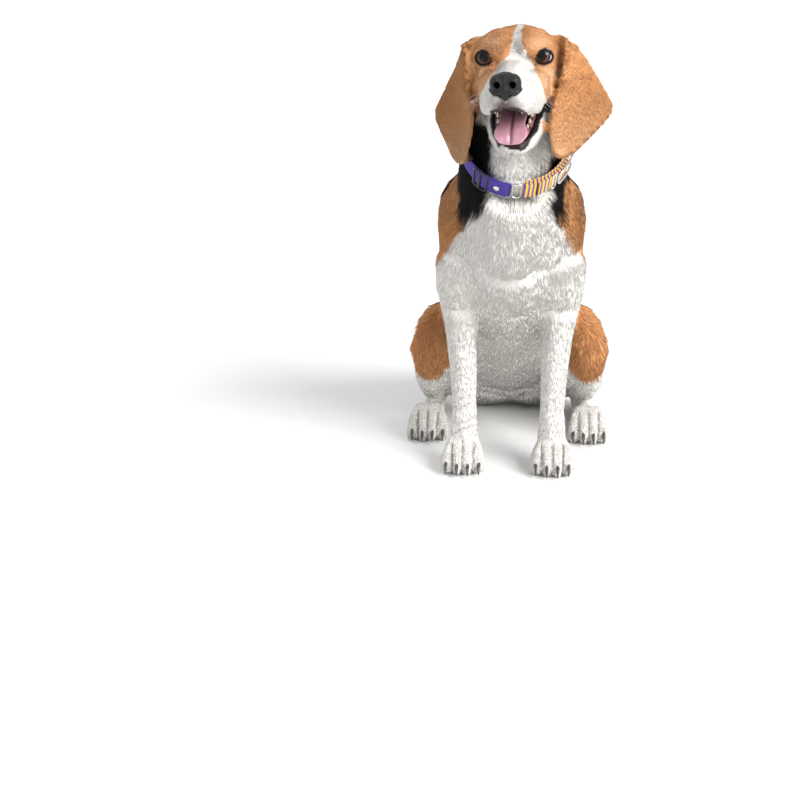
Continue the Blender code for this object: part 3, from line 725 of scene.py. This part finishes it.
def make_coat(name, skin, fields, layout, material):
    _, count, wide = COATS[name]
    mesh = skin.data
    corners = read_array(mesh.loops, "vertex_index", 1, np.int32)
    starts = read_array(mesh.polygons, "loop_start", 1, np.int32)
    quads = corners[starts[:, None] + np.arange(4)]
    points, normals = fields["points"], fields["normals"]
    spot = points[quads]
    diagonal = np.cross(spot[:, 2] - spot[:, 0], spot[:, 3] - spot[:, 1])
    area = np.linalg.norm(diagonal, axis=1) / 2
    shares = [
        sum(fields["weights"][:, list(COAT).index(part)] for part in covered)[quads].mean(axis=1)
        for covered, _, _ in COATS.values()
    ]
    chosen = np.argmax(shares, axis=0) == list(COATS).index(name)
    hairy = fields["hairy"][quads].mean(axis=1)
    dense = area * chosen * hairy / fields["length"][quads].mean(axis=1) ** 0.8
    picks = chance.choice(len(quads), count, p=dense / dense.sum())
    s, t = chance.random((2, count, 1))
    share = np.stack([(1 - s) * (1 - t), s * (1 - t), s * t, (1 - s) * t], axis=1)
    quad = quads[picks]

    def at(values):
        shares = share if values.ndim > 1 else share[..., 0]
        return (values[quad] * shares).sum(axis=1)

    root, normal, lie = at(points), unit(at(normals)), at(fields["lies"])
    lie = unit(laid_on(lie + chance.normal(0, SWAY, lie.shape), normal))
    side = np.cross(lie, normal)
    long = at(fields["length"]) * chance.uniform(0.7, 1.15, count) * MM
    rise = np.clip(at(fields["depth"]) * MM / long * chance.uniform(0.4, 0.95, count), 0.03, 0.6)
    half = wide / 2 * MM * chance.uniform(0.75, 1.15, count)[:, None]
    foot = root - normal * 0.3 * MM
    tip = root + (lie * np.sqrt(1 - rise**2)[:, None] + normal * rise[:, None]) * long[:, None]
    tip = under_collar(tip)
    tip[:, 2] = np.maximum(tip[:, 2], OFF_FLOOR)
    ridge = foot + normal * (half * 0.6 + 0.3 * MM)
    hairs = np.stack([foot - side * half, foot + side * half, ridge, tip], 1)
    hairs[:, :, 2] = np.maximum(hairs[:, :, 2], OFF_FLOOR)

    made = bpy.data.meshes.new(name)
    made.vertices.add(4 * count)
    made.vertices.foreach_set("co", hairs.ravel())
    faces = (np.arange(count)[:, None, None] * 4 + HAIR_FACES[None]).astype(np.int32)
    made.loops.add(12 * count)
    made.loops.foreach_set("vertex_index", faces.ravel())
    made.polygons.add(4 * count)
    made.polygons.foreach_set("loop_start", np.arange(0, 12 * count, 3, dtype=np.int32))
    made.update(calc_edges=True)
    shade = chance.normal(1, FADING, (count, 1))
    tone = coat_colour(root, at(fields["weights"]), normal) * np.clip(shade, 0.7, 1.3)
    # painted shade: the hairs in the creases between the toes are painted darker, the deeper the crease
    tone *= (1 - 0.16 * toe_creases(root))[:, None]
    # each hair is painted darker at its root and lighter at its tip: painted shade down in the coat and
    # painted light on the tips
    ends = tone[:, None, :] * np.array([0.86, 0.86, 0.96, 1.06])[None, :, None]
    colours = np.concatenate([np.clip(ends, 0, 0.95), np.ones((count, 4, 1))], axis=2)
    store(made, "coat_colour", colours, "FLOAT_COLOR", "color")
    patch = flat_places(layout, root)[:, None, :] + (HAIR_PATCH[None] - 0.5) * PATCH_WIDE
    spread = np.clip(patch, 0, 1)[np.arange(count)[:, None, None], HAIR_FACES[None]]
    made.uv_layers.new(name="OFBake").data.foreach_set("uv", spread.ravel())
    made.materials.append(material)
    coat = bpy.data.objects.new(name, made)
    put_in_scene(coat)
    finish_piece(coat, "tan_coat")


def dress_in_coat():
    skin, fields = make_skin()
    points, normals, weights = fields["points"], fields["normals"], fields["weights"]
    jaw_place, head_place = in_frame(points, JAW), in_frame(points, HEAD)
    # bare inside the mouth, and a little way over the jaw's edges in front
    jaw = weights[:, list(COAT).index("lower_jaw")]
    front, beside = soft_step(-25, -45, jaw_place[:, 1]), soft_step(9, 15, abs(jaw_place[:, 0]))
    facing = mouth_lining(points, normals, weights)
    lining = soft_step(0.20, 0.34, facing + (0.18 + 0.42 * beside) * front * jaw)
    # but haired outside the cheeks
    lining *= 1 - soft_step(8, 18, head_place[:, 1]) * soft_step(22, 28, abs(head_place[:, 0]))
    nose = np.linalg.norm((head_place - (0, -80, -19)) / (17.5, 12, 15), axis=1)
    bare_nose = soft_step(1.05, 0.9, nose)
    rim = round_eyes(points)
    wet = np.maximum(lining, rim)
    fields["hairy"] = (1 - soft_step(0.05, 0.35, lining)) * (1 - soft_step(0.5, 0.8, rim))
    fields["hairy"] *= 1 - bare_nose
    colour = coat_colour(points, weights, normals) * 0.92
    dark = np.clip(wet + bare_nose, 0, 1)[:, None]
    colour = colour * (1 - dark) + LIP * dark
    full = np.concatenate([colour, np.ones((len(colour), 1))], axis=1)
    store(skin.data, "skin_colour", full, "FLOAT_COLOR", "color")
    store(skin.data, "wet", wet)
    skin.data.materials.append(skin_material())
    finish_piece(skin, "tan_coat", *FLESH)
    layout = lay_flat(skin)
    material = hair_material()
    for name in COATS:
        make_coat(name, skin, fields, layout, material)
    return skin


# ---- eyes, nose and mouth


GAZE = Vector((-0.20, -0.95, 0.16)).normalized()


def eye_material(side_name, centre):
    wet_film = {"coat_weight": 1.0, "coat_roughness": 0.02, "coat_ior": 1.28}
    shader = Shader("eye_" + side_name, roughness=0.3, specular_ior_level=0.1, **wet_film)
    place = shader.object_place()
    vector = "ShaderNodeVectorMath"
    off = shader.add(vector, {"operation": "SUBTRACT"}, place, tuple(centre))
    way = shader.add(vector, {"operation": "NORMALIZE"}, off)
    toward = shader.add(vector, {"operation": "DOT_PRODUCT"}, way, tuple(GAZE), output="Value")
    angle = shader.add("ShaderNodeMath", {"operation": "ARCCOSINE"}, toward) * (180 / math.pi)
    rays = shader.noise(900.0, 4.0, 0.7)
    depth = angle.above(38, 9)
    iris = shader.blend(depth, (0.085, 0.028, 0.014), (0.030, 0.012, 0.008))
    iris = shader.blend(rays.above(0.5, 0.2) * 0.4, iris, (0.17, 0.06, 0.026))
    iris = shader.blend(angle.above(46, 4), iris, (0.008, 0.005, 0.005))
    white = shader.blend(shader.noise(300.0).above(0.55, 0.1) * 0.3, (0.62, 0.55, 0.52), (0.50, 0.30, 0.28))
    colour = shader.blend(angle.above(53, 1.5), iris, white)
    colour = shader.blend(angle.above(27, 1.5), (0.003, 0.002, 0.002), colour)
    shader.paint(base_color=colour)
    return shader.material


CORNEA_EDGE, CORNEA_RISE = 44, 2.6  # the clear dome: its edge in degrees, and its rise in millimetres


def make_eyes():
    for side_name, side in SIDES:
        centre = HEAD @ (Vector((side * EYE_OUT, EYE_BACK, 0)) * MM)
        shape = bmesh.new()
        bmesh.ops.create_uvsphere(shape, u_segments=48, v_segments=32, radius=EYE_RADIUS * MM)
        for vert in shape.verts:
            ahead = max(vert.co.normalized().dot(GAZE) - math.cos(math.radians(CORNEA_EDGE)), 0.0)
            vert.co += vert.co.normalized() * ahead * CORNEA_RISE * MM
            vert.co += centre
        eye = new_piece("eyeball_" + side_name, shape, eye_material(side_name, centre))
        finish_piece(eye, "eye", "eye_" + side_name)


def rim_material():
    shader = Shader("eye_rim", colour=(0.006, 0.005, 0.005), roughness=0.5, specular_ior_level=0.2)
    grain = shader.noise(1500.0)
    shader.paint(roughness=0.35 + grain * 0.25)
    shader.bump(grain, 0.3, 0.0004)
    return shader.material


def make_eye_rims():
    """The black lids round each eye, drawn to a point at the inner corner."""
    shape = bmesh.new()
    for _, side in SIDES:
        rim = []
        for angle in range(0, 361, 15):
            turn = math.radians(angle)
            inner = max(-math.cos(turn) * side, 0.0) ** 6
            u, v = 8.4 * math.cos(turn), (6.6 if angle < 180 else 7.0) * math.sin(turn)
            u, v = u - side * 2.2 * inner, v - 2.0 * inner
            out = math.sqrt(max(11.3**2 - u * u - v * v, 20.0))
            rim.append((u, -out, v, 1.4 - 0.4 * inner, 1.5 + 0.5 * max(math.sin(turn), 0) - 0.4 * inner))
        limb(shape, rim, HEAD @ eye_frame(side), sides=12, steps=60, across=Vector((0, 1, 0)))
    rims = new_piece("eye_rims", shape)
    melt(rims, 0.0005, 3)
    rims.data.materials.append(rim_material())
    finish_piece(rims, "nose_leather")


def nose_material():
    shader = Shader("nose_leather", roughness=0.4, specular_ior_level=0.4)
    cells = shader.add(
        "ShaderNodeTexVoronoi", {"feature": "DISTANCE_TO_EDGE"}, shader.object_place(), scale=900.0
    )
    grain = shader.noise(260.0)
    colour = shader.blend(grain.above(0.5, 0.2), (0.004, 0.003, 0.004), (0.010, 0.008, 0.009))
    shader.paint(base_color=colour, roughness=0.28 + grain * 0.2)
    shader.bump(cells.above(0.10, 0.10), 0.45, 0.0005)
    return shader.material


def make_nose():
    shape = bmesh.new()
    ball(shape, (0, -78.5, -15), (13, 9, 9.5), HEAD)
    ball(shape, (0, -83, -25), (5.5, 5.5, 10.5), HEAD)
    for _, side in SIDES:
        ball(shape, (side * 8.3, -79.5, -17.5), (8.6, 9.2, 10), HEAD)
        wing = [(4, -86, -25, 2.6, 2.6), (10, -84.5, -27.5, 3, 3), (15, -79, -24, 3, 3)]
        limb(shape, mirrored(wing, side), HEAD)
    nose = new_piece("nose_leather", shape)
    melt(nose, 0.0009, 3)
    for _, side in SIDES:
        hole = bmesh.new()
        passage = [(9.5, -95, -20, 3.4, 3.6), (8.2, -87, -18.5, 3.6, 3.8), (7, -76, -16, 2.4, 2.4)]
        limb(hole, mirrored(passage, side), HEAD)
        slit = [(9.5, -93, -21, 1.8, 2.0), (14, -89, -22.8, 1.5, 1.7), (19, -82, -21.5, 1.2, 1.4)]
        limb(hole, mirrored(slit, side), HEAD)
        cutter = new_piece("nostril", hole)
        melt(cutter, 0.0006, 1)
        cut_away(nose, cutter)
    groove = bmesh.new()
    ball(groove, (0, -91, -24), (0.9, 3.6, 13), HEAD)
    cut_away(nose, new_piece("philtrum", groove))
    melt(nose, 0.0006, 4)
    nose.data.materials.append(nose_material())
    finish_piece(nose, "nose_leather", "nose")


def tongue_material():
    shader = Shader("tongue", roughness=0.30, coat_weight=0.35, coat_roughness=0.12)
    place = shader.object_place()
    y = shader.split(place)[1]
    buds = shader.add("ShaderNodeTexVoronoi", {}, place, scale=1400.0)
    back = y.above(TONGUE_SHADE_START, 0.016)
    groove = shader.attribute("groove", "Fac")
    colour = shader.blend(shader.noise(160.0).above(0.5, 0.3), (0.64, 0.32, 0.39), (0.52, 0.24, 0.31))
    # painted shade: the back of the tongue, deep in the mouth, is painted dark
    colour = shader.blend(back, colour, (0.17, 0.09, 0.14))
    # painted shade: the middle groove is painted darker
    colour = shader.blend(groove * 0.75, colour, (0.13, 0.05, 0.08))
    shader.paint(base_color=colour, roughness=0.26 + shader.noise(900.0) * 0.2)
    shader.bump(buds, 0.35, 0.0004)
    return shader.material


# where the painted shade on the back of the tongue begins, along y
TONGUE_SHADE_START = (JAW @ (Vector((0, -70, 6)) * MM)).y

TONGUE = [
    (0, -16, -6, 15, 7.5),
    (0, -50, 3, 15.5, 7.5),
    (0, -80, 7.5, 14.5, 5.6),
    (0, -94, 9.5, 14, 4.6),
    (0, -104, 9.5, 17, 4.2),
    (0, -111, 8, 17.5, 4.0),
    (0, -115, 5.5, 14, 3.6),
]


def make_tongue():
    """A spoon-shaped tongue with a deep middle groove and curled edges."""

    def spot(along, around):
        share = min(max((along - 0.03) / 0.90, 0.0), 1.0)
        x, y, z, wide, deep = smooth_between(TONGUE, share)
        run = Vector(smooth_between(TONGUE, share + 0.02)[:3])
        run = (run - Vector(smooth_between(TONGUE, share - 0.02)[:3])).normalized()
        cap = max(0.03 - along, 0) / 0.03 + max(along - 0.93, 0) / 0.07
        shrink = math.sqrt(max(1 - cap**2, 0.0))
        turn = 2 * math.pi * around
        u, v = wide * math.cos(turn) * shrink, deep * math.sin(turn) * shrink
        up = run.cross(Vector((1, 0, 0)))
        groove = 2.6 * math.exp(-((u / 1.9) ** 2)) if math.sin(turn) > 0 else 0.0
        curl = 2.8 * (abs(u) / max(wide, 1)) ** 2.5
        push = min(cap, 1.0) * deep * (1 if along > 0.5 else -1)
        return JAW @ ((Vector((x + u, y, z)) + run * push * 1.2 + up * (v - groove * shrink + curl)) * MM)

    tongue = new_piece("tongue_muscle", bent_grid(70, 60, spot), tongue_material())
    off_middle = in_frame(points_of(tongue.data), JAW)[:, 0]
    # a mask along the middle groove, where the tongue's material paints shade
    store(tongue.data, "groove", np.exp(-((off_middle / 1.5) ** 2)))
    finish_piece(tongue, "tongue", "tongue")


def gum_material():
    shader = Shader("gum_and_teeth", roughness=0.25, coat_weight=0.4, coat_roughness=0.08)
    tooth = shader.attribute("tooth", "Fac")
    gum = shader.blend(shader.noise(160.0).above(0.46, 0.12), (0.30, 0.11, 0.13), (0.03, 0.015, 0.018))
    ivory = shader.blend(shader.noise(400.0).above(0.5, 0.3) * 0.4, (0.74, 0.63, 0.44), (0.52, 0.38, 0.21))
    shader.paint(base_color=shader.blend(tooth, gum, ivory))
    shader.bump(shader.noise(500.0), 0.15, 0.0004)
    return shader.material


# Round each arch: the angle from its front, the tooth's length past the gum, and half its thickness.
UPPER_TEETH = ((8, 2, 2), (20, 2, 2.1), (34, 6.5, 2.9), (46, 4, 2.6))
UPPER_TEETH += ((56, 5, 3), (67, 6.5, 3.3), (79, 5, 3.2))
LOWER_TEETH = ((44, 3.5, 2.2), (55, 4.5, 2.8), (67, 6, 3.2), (79, 4, 3.2))
UPPER_ARCH = (20, 54, -68, -42)
LOWER_ARCH = (19, 58, -104, -1)


def on_arch(arch, angle):
    """A point on a horseshoe (half width, length, front, height), at an angle from its front."""
    half_width, length, front, height = arch
    turn = math.radians(angle)
    squared = math.copysign(abs(math.sin(turn)) ** 0.6, turn)
    return half_width * squared, front + length * (1 - math.cos(turn)), height


def make_gums(name, arch, place_in, way, teeth, node):
    shape = bmesh.new()
    ridge = [(*on_arch(arch, angle), 3.6, 3.4) for angle in range(-88, 89, 8)]
    limb(shape, ridge, place_in, sides=16, steps=60, across=Vector((0, 0, 1)))
    for angle, crown, thick in teeth:
        for turned_angle in (angle, -angle):
            x, y, z = on_arch(arch, turned_angle)
            tip = z + way * (3 + crown)
            limb(shape, [(x, y, z, thick, thick), (x, y - 0.1 * crown, tip, 0.8, 0.8)], place_in)
    gums = new_piece(name, shape)
    melt(gums, 0.0006, 2)
    local = in_frame(points_of(gums.data), place_in)
    tooth = soft_step(3.2, 4.2, way * (local[:, 2] - arch[3]))
    store(gums.data, "tooth", tooth)
    gums.data.materials.append(gum_material())
    finish_piece(gums, "gum_and_teeth", node)


# ---- whiskers


def whisker_material():
    shader = Shader("whisker", roughness=0.35)
    tone = shader.noise(300.0).above(0.5, 0.3)
    shader.paint(base_color=shader.blend(tone, (0.80, 0.76, 0.70), (0.60, 0.55, 0.50)))
    return shader.material


def make_whiskers(skin):
    """Stiff pale hairs from the sides of the muzzle."""
    bpy.context.view_layer.update()
    tree = BVHTree.FromObject(skin, bpy.context.evaluated_depsgraph_get())
    shape = bmesh.new()
    for _, side in SIDES:
        for row in range(3):
            for column in range(3):
                y = -66 + 8 * column + 2 * row + chance.uniform(-1, 1)
                z = -31 - 4.5 * row + chance.uniform(-1, 1)
                start = HEAD @ (Vector((side * 48, y, z)) * MM)
                inward = HEAD.to_3x3() @ Vector((-side, 0, 0))
                hit = tree.ray_cast(start, inward, 0.045)[0]
                if hit is None:
                    continue
                root = HEAD.inverted() @ hit / MM
                long = chance.uniform(16, 30)
                out, back, down = chance.uniform(0.6, 0.9), chance.uniform(0.2, 0.6), chance.uniform(0.1, 0.5)
                path = []
                for t, wide in ((-0.06, 0.12), (0.3, 0.11), (0.65, 0.08), (1.0, 0.03)):
                    spot = root + Vector((side * out * t, back * t, -down * t * (0.5 + t))) * long
                    path.append((*spot, wide, wide))
                limb(shape, path, HEAD, sides=5, steps=10, across=Vector((0, 0, 1)))
    finish_piece(new_piece("whiskers", shape, whisker_material()), "white_coat")


# ---- the collar


def collar_spot(angle, out, up):
    """A point round the collar in its own frame: angle from the throat towards the dog's left."""
    turn = math.radians(angle)
    x, y = COLLAR_HALF[0] * math.sin(turn), -COLLAR_HALF[1] * math.cos(turn)
    away = Vector((x / COLLAR_HALF[0] ** 2, y / COLLAR_HALF[1] ** 2, 0)).normalized()
    return Vector((x, y, up)) + away * out


def strap(shape, start, end, inner, thick, wide, up=0.0, climb=0.0):
    """Adds a flat strap with rounded edges between two angles; climb lifts its far end."""
    steps = max(4, int(abs(end - start) / 1.5))

    def spot(along, around):
        share = min(max((along - 0.02) / 0.96, 0.0), 1.0)
        cap = min(max(0.02 - along, along - 0.98, 0.0) / 0.02, 1.0)
        turn = 2 * math.pi * around
        u = math.copysign(abs(math.cos(turn)) ** 0.35, math.cos(turn)) * (wide / 2 - 0.4 * cap)
        v = math.copysign(abs(math.sin(turn)) ** 0.6, math.sin(turn)) * thick / 2 * (1 - cap)
        angle, height = start + (end - start) * share, u * (1 - cap) + up + climb * share
        return COLLAR @ (collar_spot(angle, inner + thick / 2 + v, height) * MM)

    join_in(shape, bent_grid(steps, 24, spot))


def loop(shape, spots, facing, wire, deep=None):
    """Adds a closed wire through collar spots (angle, out, up), lying square to the angle it faces."""
    away = collar_spot(facing, 1, 0) - collar_spot(facing, 0, 0)
    ring = [(*collar_spot(*spot), deep or wire, wire) for spot in (*spots, spots[0])]
    limb(shape, ring, COLLAR, sides=10, steps=90, across=away)


def finish_collar(name, shape, material, slot):
    piece = new_piece(name, shape, material)
    local = in_frame(points_of(piece.data), COLLAR)
    turn = np.arctan2(local[:, 0] / COLLAR_HALF[0], -local[:, 1] / COLLAR_HALF[1])
    along = np.interp(turn, STEP_TURNS, ROUND_LENGTHS)
    store(piece.data, "along", along)
    store(piece.data, "across", local[:, 2])
    finish_piece(piece, slot, "collar_" + name)


def webbing_material(name, striped):
    shader = Shader(name, roughness=0.75, specular_ior_level=0.2, sheen_weight=0.1)
    along, across = shader.attribute("along", "Fac"), shader.attribute("across", "Fac")
    weave = (along * 5.2).sine() * (across * 4.6).sine()
    if striped:
        yellow = shader.blend(weave.above(0.0, 0.8), (0.86, 0.50, 0.012), (0.96, 0.62, 0.03))
        lilac = shader.blend(weave.above(0.0, 0.8), (0.13, 0.06, 0.36), (0.20, 0.10, 0.48))
        stripe = (along * (2 * math.pi / STRIPE_PITCH)).sine().above(0.15, 0.2)
        colour = shader.blend(stripe, yellow, lilac)
    else:
        colour = shader.blend(weave.above(0.0, 0.8), (0.055, 0.034, 0.25), (0.095, 0.06, 0.38))
    wear = shader.noise(250.0).above(0.5, 0.3) * 0.25
    shader.paint(base_color=shader.blend(wear, colour, (0.75, 0.72, 0.72), "MULTIPLY"))
    shader.bump(weave, 0.5, 0.0003)
    return shader.material


def plain_material(name, first, second, roughness, metallic=0.0):
    """A material that wanders between two colours."""
    shader = Shader(name, metallic=metallic)
    grain = shader.noise(240.0)
    colour = shader.blend(grain.above(0.5, 0.25), first, second)
    shader.paint(base_color=colour, roughness=grain * 0.12 + roughness)
    shader.bump(grain, 0.1, 0.0003)
    return shader.material


def make_collar():
    purple = webbing_material("purple_webbing", striped=False)
    stripes = webbing_material("striped_webbing", striped=True)
    plastic = plain_material("black_plastic", (0.012, 0.012, 0.014), (0.022, 0.022, 0.025), 0.32)
    steel = plain_material("steel", (0.62, 0.60, 0.58), (0.78, 0.77, 0.76), 0.12, 1.0)
    shape = bmesh.new()
    strap(shape, -180, 0.5, 0, 2.2, STRAP_WIDE)
    strap(shape, -42, -2, 2.2, 1.6, STRAP_WIDE - 0.6)
    finish_collar("plain_strap", shape, purple, "purple_webbing")
    shape = bmesh.new()
    strap(shape, 12.5, 180, 0, 2.2, STRAP_WIDE)
    strap(shape, 12.5, 27, 2.2, 1.6, STRAP_WIDE - 0.4)
    strap(shape, 28.5, 72, 2.4, 1.6, STRAP_WIDE - 1, 0.4)
    strap(shape, 15, 110, -1.6, 1.6, STRAP_WIDE - 4, 4.5, 4)
    finish_collar("striped_strap", shape, stripes, "striped_webbing")

    shape = bmesh.new()
    square = [(2.4, 2.2, -9), (6.5, 2.4, -10.4), (10.6, 2.2, -9), (10.8, 2.2, 0)]
    square += [(10.6, 2.2, 9), (6.5, 2.4, 10.4), (2.4, 2.2, 9), (2.2, 2.2, 0)]
    loop(shape, square, 6.5, 1.3)
    finish_collar("link", shape, steel, "steel")
    shape = bmesh.new()
    wire = [(-40, 4.2, -11), (-32.5, 4.6, -11.8), (-25, 4.2, -11), (-24.6, 4.2, 0), (-25, 4.2, 11)]
    loop(shape, [*wire, (-32.5, 4.6, 11.8), (-40, 4.2, 11), (-40.4, 4.2, 0)], -32.5, 1.4, 1.2)
    limb(shape, [(*collar_spot(-32.5, 4.6, up), 1.8, 1.1) for up in (-10, 0, 10)], COLLAR)
    finish_collar("slider", shape, plastic, "black_plastic")
    shape = bmesh.new()
    strap(shape, 26.6, 28.4, 3.4, 1.2, STRAP_WIDE + 1)
    finish_collar("keeper", shape, plastic, "black_plastic")
    shape = bmesh.new()
    strap(shape, 43, 45.4, 3.4, 2.0, STRAP_WIDE + 3)
    strap(shape, 47.6, 50, 3.4, 2.0, STRAP_WIDE + 3)
    strap(shape, 43.4, 49.6, 3.4, 1.8, 2.4, 10.4)
    strap(shape, 43.4, 49.6, 3.4, 1.8, 2.4, -10.4)
    finish_collar("slide_plate", shape, steel, "steel")
    shape = bmesh.new()
    bow = [(52.5, 5.4, -6), (55, 5.6, -8.4), (69, 5.8, -8.6), (81, 5.8, -7), (88, 5.4, 0), (81, 5.8, 7)]
    loop(shape, [*bow, (69, 5.8, 8.6), (55, 5.6, 8.4), (52.5, 5.4, 6), (52, 5.2, 0)], 70, 1.4)
    finish_collar("ring", shape, steel, "steel")
    shape = bmesh.new()
    rivet_place = Matrix.Translation(collar_spot(-14, 3.9, 0) * MM) @ turned(-14, "Z")
    ball(shape, (0, 0, 0), (3.6, 1.5, 3.6), COLLAR @ rivet_place)
    finish_collar("rivet", shape, steel, "steel")


def make_claws():
    """Sixteen curved claws, one at the end of each toe."""
    horn = plain_material("claw", (0.035, 0.028, 0.025), (0.12, 0.10, 0.09), 0.3)
    shape = bmesh.new()
    for middle, knuckles, spread, reach in PAWS:
        for _, side in SIDES:
            for place in (-1.5, -0.5, 0.5, 1.5):
                x, y = middle + place * spread, knuckles - reach - (5 if abs(place) < 1 else 0)
                hook = [(x, y - 4, 12, 2.0, 2.6), (x, y - 9, 11.2, 1.9, 2.5)]
                hook += [(x, y - 13, 7.6, 1.4, 1.9), (x, y - 15.2, 3.4, 0.6, 0.8)]
                limb(shape, mirrored(hook, side), PART_FRAME, sides=14, steps=20)
    claws = new_piece("claws", shape, horn)
    finish_piece(claws, "claw", *(name for name in sorted(nodes) if name.startswith("claw")))


# ---- the stage


FLOOR_HALF = 6.0
SKY, SKY_STRENGTH = (0.95, 0.97, 1.0, 1), 0.68
# Each lamp: where it shines from, its strength and its width in degrees.
LAMPS = (("key", (1.25, -0.85, 0.95), 3.7, 38), ("back_light", (-0.6, 1.0, 0.9), 0.7, 50))
LENS = 95.8
CAMERA_OFF = (0.0, -2.2651, 0.3994)  # from between the eyes: 2.3 m off, 10 degrees above them
CAMERA_PAN, CAMERA_DIP = 3.084, 19.17


def make_stage():
    shape = bmesh.new()
    bmesh.ops.create_grid(shape, x_segments=2, y_segments=2, size=FLOOR_HALF)
    shader = Shader("floor", roughness=0.75)
    grain = shader.noise(3.0)
    shader.paint(base_color=shader.blend(grain, (0.88, 0.88, 0.88), (0.91, 0.91, 0.90)))
    new_piece("floor", shape, shader.material)
    world = bpy.data.worlds.new("studio")
    bpy.context.scene.world = world
    world.use_nodes = True
    sky = world.node_tree.nodes["Background"].inputs
    sky["Color"].default_value, sky["Strength"].default_value = SKY, SKY_STRENGTH
    for name, place, energy, spread in LAMPS:
        lamp = bpy.data.lights.new(name, "SUN")
        lamp.energy, lamp.angle = energy, math.radians(spread)
        lamp_object = bpy.data.objects.new(name, lamp)
        lamp_object.rotation_euler = (-Vector(place)).to_track_quat("-Z", "Y").to_euler()
        put_in_scene(lamp_object)
    bpy.context.scene.view_settings.view_transform = "Standard"


def make_camera():
    lens = bpy.data.cameras.new("camera")
    lens.lens = LENS
    camera = bpy.data.objects.new("camera", lens)
    aim = turned(CAMERA_PAN, "Z") @ turned(90 - CAMERA_DIP, "X")
    camera.matrix_world = Matrix.Translation(BETWEEN_EYES + Vector(CAMERA_OFF)) @ aim
    put_in_scene(camera)
    bpy.context.scene.camera = camera


make_camera()
make_stage()
make_whiskers(dress_in_coat())
make_collar()
make_claws()
make_eyes()
make_eye_rims()
make_nose()
make_tongue()
make_gums("upper_gum_and_teeth", UPPER_ARCH, HEAD, -1, UPPER_TEETH, "upper_gums")
make_gums("lower_gum_and_teeth", LOWER_ARCH, JAW, 1, LOWER_TEETH, "lower_gums")
